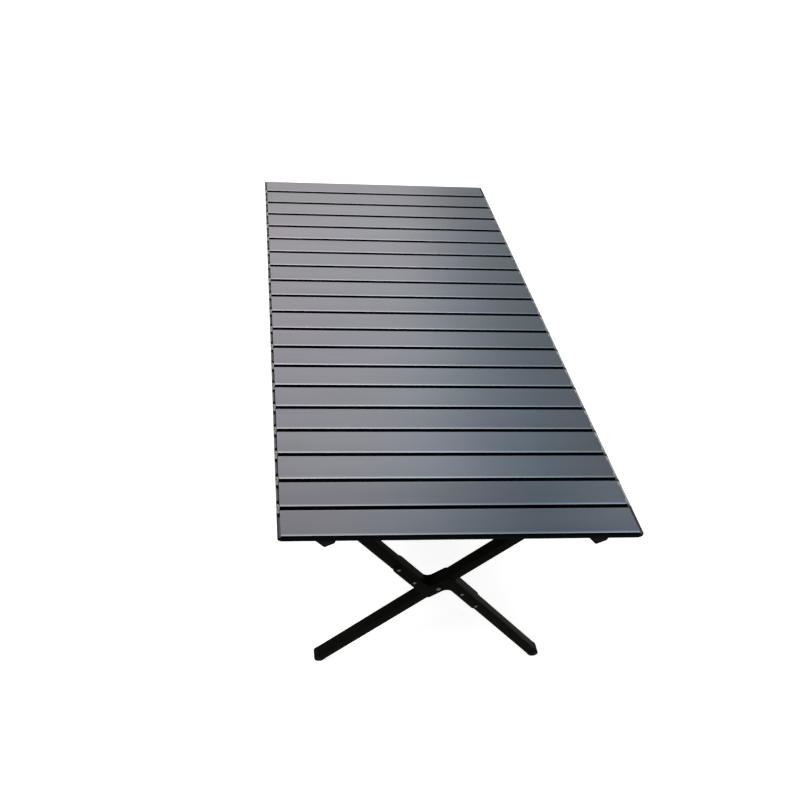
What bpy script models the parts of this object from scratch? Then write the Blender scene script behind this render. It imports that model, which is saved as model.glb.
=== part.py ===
"""Folding camp table: a roll-up top of aluminium slats on a folding frame with crossed legs.

Metres, +Z up. The origin is on the ground under the middle of the top. Slats lie along X and follow
each other along Y. The near end of the table is at -Y.
"""

import math

import bmesh
import bpy
from mathutils import Matrix, Vector

# Table as a whole
TABLE_LENGTH = 1.200
TABLE_WIDTH = 0.600
TABLE_HEIGHT = 0.450
CLEARANCE = 0.0003

# Slat: an open channel with a rounded upper edge, closed by a moulded cap at each end
SLAT_COUNT = 20
SLAT_GAP = 0.005
SLAT_THICKNESS = 0.012
SLAT_WALL = 0.0013
SLAT_LIP = 0.007
SLAT_EDGE_RADIUS = 0.0025
CAP_DROP = 0.0011
CAP_RISE = 0.0005
CAP_INSET = 0.0002
CAP_SEAT = 0.003

# Slat hinge: an outer ear on one slat turns on the stub pin of the next slat's inner ear
HINGE_DEPTH = 0.004
EAR_RADIUS = 0.0035
EAR_WIDTH = 0.0025
HINGE_PIN_RADIUS = 0.0015
LEAF_LENGTH = 0.013

# Hook under each end slat
HOOK_LEFT_INSET = 0.0770
HOOK_RIGHT_INSET = 0.0725
HOOK_DROP = 0.015
HOOK_HEEL = 0.0135
HOOK_TOE = 0.017
HOOK_SHOULDER = 0.015
HOOK_SHOULDER_DROP = 0.006
HOOK_TIP_RADIUS = 0.002
HOOK_THICKNESS = 0.005
HOOK_SETBACK = 0.0015
HOOK_PAD_DEPTH = 0.014
HOOK_PAD_THICKNESS = 0.002

# Square tube of the legs and rails
TUBE = 0.020
TUBE_WALL = 0.0012
TUBE_CORNER = 0.0018

# Crossed legs
LEG_ANGLE = math.radians(48.85)
LEG_INSET = 0.0495
PIVOT_HEIGHT = 0.2394
SPLIT_OFFSET = 0.0228
FOOT_FLAT = 0.0005
FOOT_COLLAR = 0.008
FOOT_PLUG = 0.016

# Hub plates and rivets that join the two halves of the split leg
HUB_PLATE = 0.002
HUB_WEB = 0.026
HUB_FILLET = 0.013
HUB_CORNER = 0.008
RIVET_OUTER = 0.095
RIVET_INNER = 0.045
RIVET_RADIUS = 0.0022
RIVET_HEAD_RADIUS = 0.0045
RIVET_HEAD_HEIGHT = 0.0024
STOP_PIN_RADIUS = 0.0011
STOP_PIN_PLACE = 0.0247
STOP_HEAD_RADIUS = 0.0026
STOP_HEAD_HEIGHT = 0.0012
PIVOT_RADIUS = 0.003
PIVOT_HEAD_RADIUS = 0.0055
PIVOT_HEAD_HEIGHT = 0.0028

# Corner brackets
BRACKET_WIDTH = 0.022
BRACKET_LIP = 0.0029
BRACKET_CHEEK = 0.003
BRACKET_WEB = 0.010
BRACKET_PIN_FLOOR = 0.002
TONGUE_RADIUS = 0.0075
SWING_GAP = 0.0005

# Side rails, each in two halves pinned to a moulded joint
FORK_DEPTH = 0.012
RAIL_PIN_RADIUS = 0.0025
RAIL_HEAD_RADIUS = 0.0045
RAIL_HEAD_HEIGHT = 0.0015
JOINT_BODY = 0.012

# Facets
ROUND_STEPS = 8
RIVET_STEPS = 6
EAR_STEPS = 6
EDGE_STEPS = 2
CORNER_STEPS = 1

# Places worked out from the sizes
SLAT_WIDTH = (TABLE_LENGTH - (SLAT_COUNT - 1) * SLAT_GAP) / SLAT_COUNT
SLAT_PITCH = SLAT_WIDTH + SLAT_GAP
CAP_WIDTH = 2 * (EAR_WIDTH + CLEARANCE)
EAR_POCKET = EAR_RADIUS + CLEARANCE - SLAT_GAP / 2
HOOK_LEFT_X = HOOK_LEFT_INSET - TABLE_WIDTH / 2
HOOK_RIGHT_X = TABLE_WIDTH / 2 - HOOK_RIGHT_INSET
SLAT_UNDERSIDE = TABLE_HEIGHT - SLAT_THICKNESS
RAIL_TOP = SLAT_UNDERSIDE - CLEARANCE
RAIL_AXIS = RAIL_TOP - TUBE / 2
LEG_PLANE = TABLE_LENGTH / 2 - LEG_INSET - TUBE / 2
LEG_TOP = RAIL_TOP - BRACKET_LIP - CLEARANCE - TUBE / 2
FOOT_CENTRE = TUBE / 2 - FOOT_FLAT
SIN = math.sin(LEG_ANGLE)
COS = math.cos(LEG_ANGLE)
LONG_UP = (LEG_TOP - PIVOT_HEIGHT) / SIN
LONG_DOWN = (PIVOT_HEIGHT - FOOT_CENTRE) / SIN
SPLIT_UP = (LEG_TOP - PIVOT_HEIGHT + SPLIT_OFFSET * COS) / SIN
SPLIT_DOWN = (PIVOT_HEIGHT - FOOT_CENTRE + SPLIT_OFFSET * COS) / SIN
RIGHT_X = LONG_UP * COS
LEFT_X = -SPLIT_UP * COS - SPLIT_OFFSET * SIN
CROSS_ANGLE = math.pi - 2 * LEG_ANGLE
STOP_END = (TUBE / 2 - (SPLIT_OFFSET - TUBE / 2) * math.cos(CROSS_ANGLE)) / math.sin(CROSS_ANGLE) + CLEARANCE
STOP_PIN_OFFSET = TUBE / 2 + CLEARANCE + STOP_PIN_RADIUS
HUB_FACE = TUBE / 2 + CLEARANCE
BRACKET_PIN_REACH = HUB_FACE + BRACKET_WEB - BRACKET_PIN_FLOOR
RAIL_PIN_OFFSET = HUB_FACE + BRACKET_WEB + SWING_GAP + TUBE / 2
RAIL_END = LEG_PLANE - RAIL_PIN_OFFSET
JOINT_PIN = JOINT_BODY / 2 + SWING_GAP + TUBE / 2
RAIL_SPAN = RAIL_END - JOINT_PIN
BORE = TUBE - 2 * TUBE_WALL
TONGUE_WIDTH = BORE - 2 * CLEARANCE
UP_RIGHT = -LEG_ANGLE
UP_LEFT = LEG_ANGLE - math.pi


def clear_scene():
    """Remove every object that the file starts with."""
    for thing in list(bpy.data.objects):
        bpy.data.objects.remove(thing)


def finish(name, colour, metallic, roughness):
    """Return a plain Principled material."""
    material = bpy.data.materials.new(name)
    material.use_nodes = True
    shader = material.node_tree.nodes["Principled BSDF"]
    shader.inputs["Base Color"].default_value = (*colour, 1.0)
    shader.inputs["Metallic"].default_value = metallic
    shader.inputs["Roughness"].default_value = roughness
    return material


def add_object(name, mesh):
    """Link a mesh to the scene under a name."""
    thing = bpy.data.objects.new(name, mesh)
    bpy.context.scene.collection.objects.link(thing)
    return thing


def add_joint(name, place, parent=None):
    """Add an empty on a joint's axis, at a place given in the table's frame."""
    empty = add_object(name, None)
    empty.empty_display_size = 0.02
    empty["place"] = place
    origin = Vector(parent["place"]) if parent else Vector()
    empty.parent = parent
    empty.location = Vector(place) - origin
    return empty


def seat(name, mesh, material, joint, place, turn=(0.0, 0.0, 0.0)):
    """Put a finished piece at a place of the table's frame, carried by the empty of its joint."""
    thing = add_object(name, mesh)
    thing.parent = joint
    thing.location = Vector(place) - Vector(joint["place"])
    thing.rotation_euler = turn
    mesh.materials.clear()
    mesh.materials.append(material)
    return thing


def arc(centre, radius, start, end, steps):
    """Points of an arc, with both ends, from one angle to another in radians."""
    turn = (end - start) / steps
    angles = [start + turn * step for step in range(steps + 1)]
    return [(centre[0] + radius * math.cos(a), centre[1] + radius * math.sin(a)) for a in angles]


def prism(outline, axis, low, high):
    """Close an outline into a straight solid along an axis.

    The outline's two numbers are places along the other two axes, in the order X, Y, Z.
    """
    def corner(point, depth):
        if axis == "X":
            return (depth, point[0], point[1])
        if axis == "Y":
            return (point[0], depth, point[1])
        return (point[0], point[1], depth)

    shape = bmesh.new()
    face = shape.faces.new([shape.verts.new(corner(point, low)) for point in outline])
    grown = bmesh.ops.extrude_face_region(shape, geom=[face])
    moved = [item for item in grown["geom"] if isinstance(item, bmesh.types.BMVert)]
    step = Vector(corner((0.0, 0.0), high - low))
    bmesh.ops.translate(shape, vec=step, verts=moved)
    bmesh.ops.recalc_face_normals(shape, faces=shape.faces)
    mesh = bpy.data.meshes.new("prism")
    shape.to_mesh(mesh)
    shape.free()
    return mesh


def block(x_range, y_range, z_range):
    """A box between three pairs of limits."""
    y_low, y_high = y_range
    z_low, z_high = z_range
    outline = [(y_low, z_low), (y_high, z_low), (y_high, z_high), (y_low, z_high)]
    return prism(outline, "X", min(x_range), max(x_range))


def turned(profile, steps=ROUND_STEPS):
    """Revolve a profile of (place along Y, radius) pairs about the Y axis."""
    shape = bmesh.new()
    points = [shape.verts.new((radius, along, 0.0)) for along, radius in profile]
    edges = [shape.edges.new(pair) for pair in zip(points, points[1:])]
    bmesh.ops.spin(shape, geom=points + edges, axis=(0.0, 1.0, 0.0), cent=(0.0, 0.0, 0.0),
                   steps=steps, angle=2 * math.pi, use_merge=True)
    bmesh.ops.remove_doubles(shape, verts=shape.verts, dist=0.000001)
    bmesh.ops.recalc_face_normals(shape, faces=shape.faces)
    mesh = bpy.data.meshes.new("turned")
    shape.to_mesh(mesh)
    shape.free()
    return mesh


def rod(radius, low, high, place=(0.0, 0.0), axis="Y", steps=ROUND_STEPS):
    """A round rod along X or Y, whose place is given across its axis."""
    mesh = turned([(low, 0.0), (low, radius), (high, radius), (high, 0.0)], steps)
    if axis == "X":
        mesh.transform(Matrix.Rotation(-math.pi / 2, 4, "Z"))
        mesh.transform(Matrix.Translation((0.0, place[0], place[1])))
    else:
        mesh.transform(Matrix.Translation((place[0], 0.0, place[1])))
    return mesh


def combine(base, others, operation):
    """Apply one Boolean after another to a mesh and return the result."""
    for other in others:
        body = add_object("body", base)
        tool = add_object("tool", other)
        change = body.modifiers.new("combine", "BOOLEAN")
        change.operation = operation
        change.solver = "EXACT"
        change.object = tool
        graph = bpy.context.evaluated_depsgraph_get()
        base = bpy.data.meshes.new_from_object(body.evaluated_get(graph))
        bpy.data.objects.remove(body)
        bpy.data.objects.remove(tool)
    return base


def tidy(mesh, smooth_angle=35.0):
    """Join flat neighbours into whole faces and shade the round ones smooth."""
    shape = bmesh.new()
    shape.from_mesh(mesh)
    bmesh.ops.remove_doubles(shape, verts=shape.verts, dist=0.000002)
    bmesh.ops.dissolve_limit(shape, angle_limit=math.radians(0.2), verts=shape.verts, edges=shape.edges)
    shape.to_mesh(mesh)
    shape.free()
    mesh.shade_smooth()
    mesh.set_sharp_from_angle(angle=math.radians(smooth_angle))
    return mesh


# Slats

def slat_profile():
    """Outline of the channel: rounded above, open below between its two lips."""
    radius = SLAT_EDGE_RADIUS
    far = SLAT_WIDTH
    inner_low = SLAT_WALL - SLAT_THICKNESS
    outline = [(SLAT_LIP, -SLAT_THICKNESS), (0.0, -SLAT_THICKNESS)]
    outline += arc((radius, -radius), radius, math.pi, math.pi / 2, EDGE_STEPS)
    outline += arc((far - radius, -radius), radius, math.pi / 2, 0.0, EDGE_STEPS)
    outline += [(far, -SLAT_THICKNESS), (far - SLAT_LIP, -SLAT_THICKNESS), (far - SLAT_LIP, inner_low)]
    outline += [(far - SLAT_WALL, inner_low), (far - SLAT_WALL, -SLAT_WALL)]
    outline += [(SLAT_WALL, -SLAT_WALL), (SLAT_WALL, inner_low), (SLAT_LIP, inner_low)]
    return outline


def ear_outline(axis, inward):
    """Hinge ear with its leaf: round about the hinge axis, straight into the slat."""
    start = math.pi / 2 if inward > 0 else -math.pi / 2
    outline = arc((axis, -HINGE_DEPTH), EAR_RADIUS, start, start + math.pi, EAR_STEPS)
    root = axis + inward * (SLAT_GAP / 2 + LEAF_LENGTH)
    low, high = -HINGE_DEPTH - EAR_RADIUS, -HINGE_DEPTH + EAR_RADIUS
    ends = [(root, low), (root, high)] if inward > 0 else [(root, high), (root, low)]
    return outline + ends


def cap_plan(side, root, inner_to, outer_from, near_hinge, far_hinge):
    """Plan outline of a cap: a lobe behind each of its own ears and a pocket for each neighbour's."""
    tip = TABLE_WIDTH / 2
    start = root - CAP_SEAT
    near, far = CAP_INSET, SLAT_WIDTH - CAP_INSET
    near_cut, far_cut = EAR_POCKET, SLAT_WIDTH - EAR_POCKET
    plan = [(start, near), (tip, near)]
    if near_hinge:
        plan = [(start, near), (inner_to, near), (inner_to, near_cut), (tip, near_cut)]
    if far_hinge:
        plan += [(tip, far), (outer_from, far), (outer_from, far_cut), (start, far_cut)]
    else:
        plan += [(tip, far), (start, far)]
    return [(side * x, y) for x, y in plan]


def cap_solids(side, near_hinge, far_hinge):
    """Solids of one end cap, for the end of the slat at side * X, and its hinge hole cutters."""
    tip = TABLE_WIDTH / 2
    root = tip - CAP_WIDTH
    outer_from = tip - EAR_WIDTH
    inner_to = outer_from - CLEARANCE
    inner_from = inner_to - EAR_WIDTH

    def across(low, high):
        return sorted((side * low, side * high))

    plan = cap_plan(side, root, inner_to, outer_from, near_hinge, far_hinge)
    solids = [prism(plan, "Z", CAP_RISE - SLAT_THICKNESS, -CAP_DROP)]
    holes = []
    if near_hinge:
        axis = -SLAT_GAP / 2
        solids.append(prism(ear_outline(axis, 1), "X", *across(inner_from, inner_to - CAP_INSET)))
        solids.append(rod(HINGE_PIN_RADIUS, *across(inner_from + EAR_WIDTH / 2, tip),
                          place=(axis, -HINGE_DEPTH), axis="X", steps=EAR_STEPS))
    if far_hinge:
        axis = SLAT_WIDTH + SLAT_GAP / 2
        solids.append(prism(ear_outline(axis, -1), "X", *across(outer_from + CAP_INSET, tip - CAP_INSET / 2)))
        holes.append(rod(HINGE_PIN_RADIUS + CLEARANCE, *across(outer_from - CLEARANCE, tip + CLEARANCE),
                         place=(axis, -HINGE_DEPTH), axis="X", steps=EAR_STEPS))
    return solids, holes


def slat_mesh(near_hinge, far_hinge):
    """One slat: channel, two caps, and the hinge ears that its place in the top calls for."""
    reach = TABLE_WIDTH / 2 - CAP_WIDTH
    mesh = prism(slat_profile(), "X", -reach, reach)
    for side in (-1, 1):
        solids, holes = cap_solids(side, near_hinge, far_hinge)
        mesh = combine(mesh, solids, "UNION")
        mesh = combine(mesh, holes, "DIFFERENCE")
    return tidy(mesh)


def build_top(root, material):
    """Lay the slats from the near end to the far end, each hinged on the one before."""
    meshes = {
        "near": slat_mesh(False, True),
        "middle": slat_mesh(True, True),
        "far": slat_mesh(True, False),
    }
    carrier = root
    joints = []
    for number in range(SLAT_COUNT):
        start = -TABLE_LENGTH / 2 + number * SLAT_PITCH
        kind = "near" if number == 0 else "far" if number == SLAT_COUNT - 1 else "middle"
        hinge = start - SLAT_GAP / 2 if number else start
        carrier = add_joint(f"turn_slat_{number + 1:02d}", (0.0, hinge, TABLE_HEIGHT - HINGE_DEPTH), carrier)
        seat(f"slat_{number + 1:02d}", meshes[kind], material, carrier, (0.0, start, TABLE_HEIGHT))
        joints.append(carrier)
    return joints


# Hooks under the end slats

def hook_mesh():
    """Moulded hook: a blunt V plate that hangs under the slat from a flat pad."""
    slope = math.atan2(HOOK_DROP, HOOK_HEEL)
    rise = math.atan2(HOOK_DROP - HOOK_SHOULDER_DROP, HOOK_SHOULDER)
    centre = (0.0, -HOOK_DROP + HOOK_TIP_RADIUS)
    outline = [(HOOK_TOE, 0.0), (-HOOK_HEEL, 0.0)]
    outline += arc(centre, HOOK_TIP_RADIUS, -math.pi / 2 - slope, -math.pi / 2 + rise, 4)
    outline += [(HOOK_SHOULDER, -HOOK_SHOULDER_DROP)]
    plate = prism(outline, "Y", 0.0, HOOK_THICKNESS)
    pad = block((-HOOK_HEEL, HOOK_TOE), (0.0, HOOK_PAD_DEPTH), (-HOOK_PAD_THICKNESS, 0.0))
    return tidy(combine(plate, [pad], "UNION"))


def build_hooks(first, last, material):
    """Two hooks under the first slat and, turned round, two under the last."""
    edge = TABLE_LENGTH / 2 - HOOK_SETBACK
    mesh = hook_mesh()
    height = SLAT_UNDERSIDE - CLEARANCE
    half_turn = (0.0, 0.0, math.pi)
    seat("end_hook_near_left", mesh, material, first, (HOOK_LEFT_X, -edge, height))
    seat("end_hook_near_right", mesh, material, first, (HOOK_RIGHT_X, -edge, height))
    seat("end_hook_far_left", mesh, material, last, (-HOOK_RIGHT_X, edge, height), half_turn)
    seat("end_hook_far_right", mesh, material, last, (-HOOK_LEFT_X, edge, height), half_turn)


# Tubes

def tube_section():
    """Square with rounded corners, as pairs across the tube."""
    half = TUBE / 2
    inset = half - TUBE_CORNER
    corners = [(inset, inset), (-inset, inset), (-inset, -inset), (inset, -inset)]
    outline = []
    for number, corner in enumerate(corners):
        start = number * math.pi / 2
        outline += arc(corner, TUBE_CORNER, start, start + math.pi / 2, CORNER_STEPS)
    return outline


def bar(start, end, round_start, round_end):
    """Solid bar of the tube's section along X, with round ends about its end points."""
    half = TUBE / 2
    low = start - half if round_start else start
    high = end + half if round_end else end
    mesh = prism(tube_section(), "X", low, high)
    if not (round_start or round_end):
        return mesh
    outline = []
    if round_end:
        outline += arc((end, 0.0), half, -math.pi / 2, math.pi / 2, ROUND_STEPS)
    else:
        outline += [(end + half, -TUBE), (end + half, TUBE)]
    if round_start:
        outline += arc((start, 0.0), half, math.pi / 2, 3 * math.pi / 2, ROUND_STEPS)
    else:
        outline += [(start - half, TUBE), (start - half, -TUBE)]
    return combine(mesh, [prism(outline, "Y", -TUBE, TUBE)], "INTERSECT")


def tube(start, end, round_start=False, round_end=False, holes=()):
    """Hollow bar with cross holes along Y, each given as (place, radius, steps round it)."""
    half = BORE / 2
    bore = block((start - TUBE, end + TUBE), (-half, half), (-half, half))
    cutters = [bore]
    cutters += [rod(radius, -TUBE, TUBE, place=(place, 0.0), steps=steps) for place, radius, steps in holes]
    return combine(bar(start, end, round_start, round_end), cutters, "DIFFERENCE")


# Legs

def foot_mesh():
    """Moulded foot: a round nose with a small flat on the ground, a collar and a plug for the tube."""
    plug = BORE / 2 - CLEARANCE
    nose = bar(0.0, FOOT_COLLAR, True, False)
    inner = block((0.0, FOOT_COLLAR + FOOT_PLUG), (-plug, plug), (-plug, plug))
    ground = block((-TUBE, TUBE), (-TUBE, TUBE), (-2 * TUBE, -FOOT_CENTRE))
    ground.transform(Matrix.Rotation(LEG_ANGLE, 4, "Y"))
    return tidy(combine(combine(nose, [inner], "UNION"), [ground], "DIFFERENCE"))


def hub_outline():
    """Plate outline: two offset arms joined by a web across the pivot."""
    half = TUBE / 2
    web = HUB_WEB / 2
    inner = SPLIT_OFFSET - half
    outer = SPLIT_OFFSET + half
    quarter = math.pi / 2
    one_side = arc((RIVET_OUTER, SPLIT_OFFSET), half, -quarter, quarter, ROUND_STEPS)
    one_side += arc((-web + HUB_CORNER, outer - HUB_CORNER), HUB_CORNER, quarter, 2 * quarter, 4)
    one_side += arc((-web - HUB_FILLET, -inner + HUB_FILLET), HUB_FILLET, 0.0, -quarter, 5)
    return one_side + [(-along, -across) for along, across in one_side]


def dome(radius, height, face, outward):
    """Profile of a domed head that stands on a face across Y."""
    rise = height / 2
    crown = [(face + outward * (rise + rise * math.sin(a)), radius * math.cos(a))
             for a in (0.0, math.radians(50))]
    return [(face, radius)] + crown + [(face + outward * height, 0.0)]


def rivet(place, offset, radius, head_radius, head_height, face, shank_to):
    """Domed head on a hub plate's face, with its shank."""
    outward = -1 if face < 0 else 1
    profile = dome(head_radius, head_height, face, outward)[::-1]
    profile += [(face - outward * HUB_PLATE / 2, head_radius), (face - outward * HUB_PLATE / 2, radius)]
    profile += [(shank_to, radius), (shank_to, 0.0)]
    mesh = turned(profile, RIVET_STEPS)
    mesh.transform(Matrix.Translation((place, 0.0, offset)))
    return mesh


def hub_plate_mesh(front):
    """Hub plate with its rivets: the front plate's shanks reach the back plate."""
    near, far = (-HUB_FACE - HUB_PLATE, -HUB_FACE) if front else (HUB_FACE, HUB_FACE + HUB_PLATE)
    face = near if front else far
    rivet_end = HUB_FACE - CLEARANCE if front else HUB_FACE + HUB_PLATE / 4
    plate = prism(hub_outline(), "Y", near, far)
    studs = []
    for sign in (-1, 1):
        for place in (RIVET_INNER, RIVET_OUTER):
            studs.append(rivet(sign * place, sign * SPLIT_OFFSET, RIVET_RADIUS,
                               RIVET_HEAD_RADIUS, RIVET_HEAD_HEIGHT, face, rivet_end))
    studs.append(rivet(STOP_PIN_PLACE, STOP_PIN_OFFSET, STOP_PIN_RADIUS,
                       STOP_HEAD_RADIUS, STOP_HEAD_HEIGHT, face, rivet_end))
    plate = combine(plate, studs, "UNION")
    hole = rod(PIVOT_RADIUS + CLEARANCE, -TUBE, TUBE)
    return tidy(combine(plate, [hole], "DIFFERENCE"))


def hub_pivot_mesh():
    """Pivot rivet through both hub plates and the long leg, headed at both ends."""
    face = HUB_FACE + HUB_PLATE + CLEARANCE
    profile = dome(PIVOT_HEAD_RADIUS, PIVOT_HEAD_HEIGHT, -face, -1)[::-1]
    profile += [(-face, PIVOT_RADIUS), (face, PIVOT_RADIUS)]
    profile += dome(PIVOT_HEAD_RADIUS, PIVOT_HEAD_HEIGHT, face, 1)
    return tidy(turned(profile))


def leg_meshes():
    """The tubes of one pair of crossed legs, along X from their crossing point."""
    pin_hole = (PIVOT_RADIUS + CLEARANCE, ROUND_STEPS)
    rivet_hole = (RIVET_RADIUS + CLEARANCE, RIVET_STEPS)
    foot_cut = FOOT_COLLAR + CLEARANCE
    long_leg = tube(-LONG_DOWN + foot_cut, LONG_UP, round_end=True,
                    holes=((0.0, *pin_hole), (LONG_UP, *pin_hole)))
    upper = tube(STOP_END, SPLIT_UP, round_end=True,
                 holes=((RIVET_INNER, *rivet_hole), (RIVET_OUTER, *rivet_hole), (SPLIT_UP, *pin_hole)))
    lower = tube(-SPLIT_DOWN + foot_cut, -STOP_END,
                 holes=((-RIVET_INNER, *rivet_hole), (-RIVET_OUTER, *rivet_hole)))
    return {"long": tidy(long_leg), "upper": tidy(upper), "lower": tidy(lower)}


def split_place(along, offset, plane):
    """Table-frame place of a point of the split leg, from its place along and across the leg."""
    return (-along * COS - offset * SIN, plane, PIVOT_HEIGHT + along * SIN - offset * COS)


def build_legs(end, plane, split_joint, long_joint, meshes, finishes):
    """One pair of crossed legs with its hub, pivot and feet."""
    hub = (0.0, plane, PIVOT_HEIGHT)
    up_left = (0.0, UP_LEFT, 0.0)
    up_right = (0.0, UP_RIGHT, 0.0)
    coat = finishes["leg"]
    above = split_place(0.0, SPLIT_OFFSET, plane)
    below = split_place(0.0, -SPLIT_OFFSET, plane)
    seat(f"leg_long_{end}", meshes["long"], coat, long_joint, hub, up_right)
    seat(f"leg_upper_{end}", meshes["upper"], coat, split_joint, above, up_left)
    seat(f"leg_lower_{end}", meshes["lower"], coat, split_joint, below, up_left)
    seat(f"hub_plate_{end}_front", meshes["front"], finishes["hub"], split_joint, hub, up_left)
    seat(f"hub_plate_{end}_back", meshes["back"], finishes["hub"], split_joint, hub, up_left)
    seat(f"hub_pivot_{end}", meshes["pivot"], finishes["pin"], split_joint, hub)
    left_foot = (-LONG_DOWN * COS, plane, FOOT_CENTRE)
    right_foot = split_place(-SPLIT_DOWN, -SPLIT_OFFSET, plane)
    turned_over = (math.pi, UP_LEFT, 0.0)
    seat(f"foot_{end}_left", meshes["foot"], finishes["foot"], long_joint, left_foot, up_right)
    seat(f"foot_{end}_right", meshes["foot"], finishes["foot"], split_joint, right_foot, turned_over)


# Corner brackets

def bracket_mesh():
    """Corner bracket about the leg's pin: a fork for the leg and a tongue for the rail."""
    half = BRACKET_WIDTH / 2
    top = RAIL_TOP - LEG_TOP
    front = -HUB_FACE - BRACKET_CHEEK
    back = HUB_FACE + BRACKET_WEB
    outline = arc((0.0, 0.0), half, math.pi, 2 * math.pi, ROUND_STEPS) + [(half, top), (-half, top)]
    body = prism(outline, "Y", front, back)
    slot = block((-TUBE, TUBE), (-HUB_FACE, HUB_FACE), (-TUBE, top - BRACKET_LIP))
    rail_axis = (RAIL_PIN_OFFSET, RAIL_AXIS - LEG_TOP)
    reach = arc(rail_axis, TONGUE_RADIUS, -math.pi / 2, math.pi / 2, EAR_STEPS)
    root = back - BRACKET_WEB / 2
    reach += [(root, rail_axis[1] + TONGUE_RADIUS), (root, rail_axis[1] - TONGUE_RADIUS)]
    tongue = prism(reach, "X", -TONGUE_WIDTH / 2, TONGUE_WIDTH / 2)
    pin_hole = rod(PIVOT_RADIUS + CLEARANCE, front - TUBE, BRACKET_PIN_REACH + CLEARANCE)
    rail_hole = rod(RAIL_PIN_RADIUS + CLEARANCE, -TUBE, TUBE, place=rail_axis, axis="X")
    body = combine(combine(body, [slot], "DIFFERENCE"), [tongue], "UNION")
    return tidy(combine(body, [pin_hole, rail_hole], "DIFFERENCE"))


def leg_pin_mesh():
    """Pin that holds a leg's top in its bracket, headed at the open side."""
    face = -HUB_FACE - BRACKET_CHEEK - CLEARANCE
    profile = dome(RIVET_HEAD_RADIUS, RIVET_HEAD_HEIGHT, face, -1)[::-1]
    profile += [(face, PIVOT_RADIUS), (BRACKET_PIN_REACH, PIVOT_RADIUS)]
    return tidy(turned(profile + [(BRACKET_PIN_REACH, 0.0)]))


def rail_pin_profile():
    """Profile of a rail pin along its axis, its head at the low end."""
    face = -TUBE / 2 - CLEARANCE
    profile = dome(RAIL_HEAD_RADIUS, RAIL_HEAD_HEIGHT, face, -1)[::-1]
    profile += [(face, RAIL_PIN_RADIUS), (TUBE / 2, RAIL_PIN_RADIUS)]
    return profile + [(TUBE / 2, 0.0)]


def rail_pin_mesh():
    """Pin across a rail's end, along X, with its head towards -X."""
    mesh = turned(rail_pin_profile())
    mesh.transform(Matrix.Rotation(-math.pi / 2, 4, "Z"))
    return mesh


def build_corner(name, side, end, joint, meshes, finishes):
    """One corner bracket with its leg pin and rail pin."""
    x_place = LEFT_X if side == "left" else RIGHT_X
    toward = -1 if end == "near" else 1
    turn = (0.0, 0.0, 0.0 if end == "near" else math.pi)
    head = (0.0, 0.0, 0.0 if side == "left" else math.pi)
    leg_axis = (x_place, toward * LEG_PLANE, LEG_TOP)
    seat(f"bracket_{name}", meshes["bracket"], finishes["bracket"], joint, leg_axis, turn)
    seat(f"leg_pin_{name}", meshes["leg_pin"], finishes["pin"], joint, leg_axis, turn)
    seat(f"rail_pin_{name}", meshes["rail_pin"], finishes["pin"], joint,
         (x_place, toward * RAIL_END, RAIL_AXIS), head)


# Side rails

def rail_mesh():
    """Half of a side rail, along X between its two pins, with a fork at each end."""
    hole = (RAIL_PIN_RADIUS + CLEARANCE, ROUND_STEPS)
    mesh = tube(0.0, RAIL_SPAN, True, True, holes=((0.0, *hole), (RAIL_SPAN, *hole)))
    half = BORE / 2
    forks = [block((-TUBE, FORK_DEPTH), (-half, half), (-TUBE, TUBE)),
             block((RAIL_SPAN - FORK_DEPTH, RAIL_SPAN + TUBE), (-half, half), (-TUBE, TUBE))]
    return tidy(combine(mesh, forks, "DIFFERENCE"))


def rail_joint_mesh():
    """Moulded joint between two rail halves, with its two pins pressed in."""
    half = TUBE / 2
    body_half = JOINT_BODY / 2
    body = block((-half, half), (-body_half, body_half), (-half, half))
    outline = arc((JOINT_PIN, 0.0), TONGUE_RADIUS, -math.pi / 2, math.pi / 2, EAR_STEPS)
    outline += arc((-JOINT_PIN, 0.0), TONGUE_RADIUS, math.pi / 2, 3 * math.pi / 2, EAR_STEPS)
    parts = [prism(outline, "X", -TONGUE_WIDTH / 2, TONGUE_WIDTH / 2)]
    for place in (-JOINT_PIN, JOINT_PIN):
        pin = rail_pin_mesh()
        pin.transform(Matrix.Translation((0.0, place, 0.0)))
        parts.append(pin)
    return tidy(combine(body, parts, "UNION"))


def build_side(side, x_place, joint, meshes, finishes):
    """One side frame: a corner bracket at each end of a rail in two halves."""
    along = (0.0, 0.0, math.pi / 2)
    turn = (0.0, 0.0, 0.0 if side == "left" else math.pi)
    for end, start in (("near", -RAIL_END), ("far", JOINT_PIN)):
        build_corner(f"{end}_{side}", side, end, joint, meshes, finishes)
        seat(f"rail_{side}_{end}", meshes["rail"], finishes["rail"], joint, (x_place, start, RAIL_AXIS), along)
    seat(f"rail_joint_{side}", meshes["rail_joint"], finishes["rail_joint"], joint,
         (x_place, 0.0, RAIL_AXIS), turn)


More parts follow.
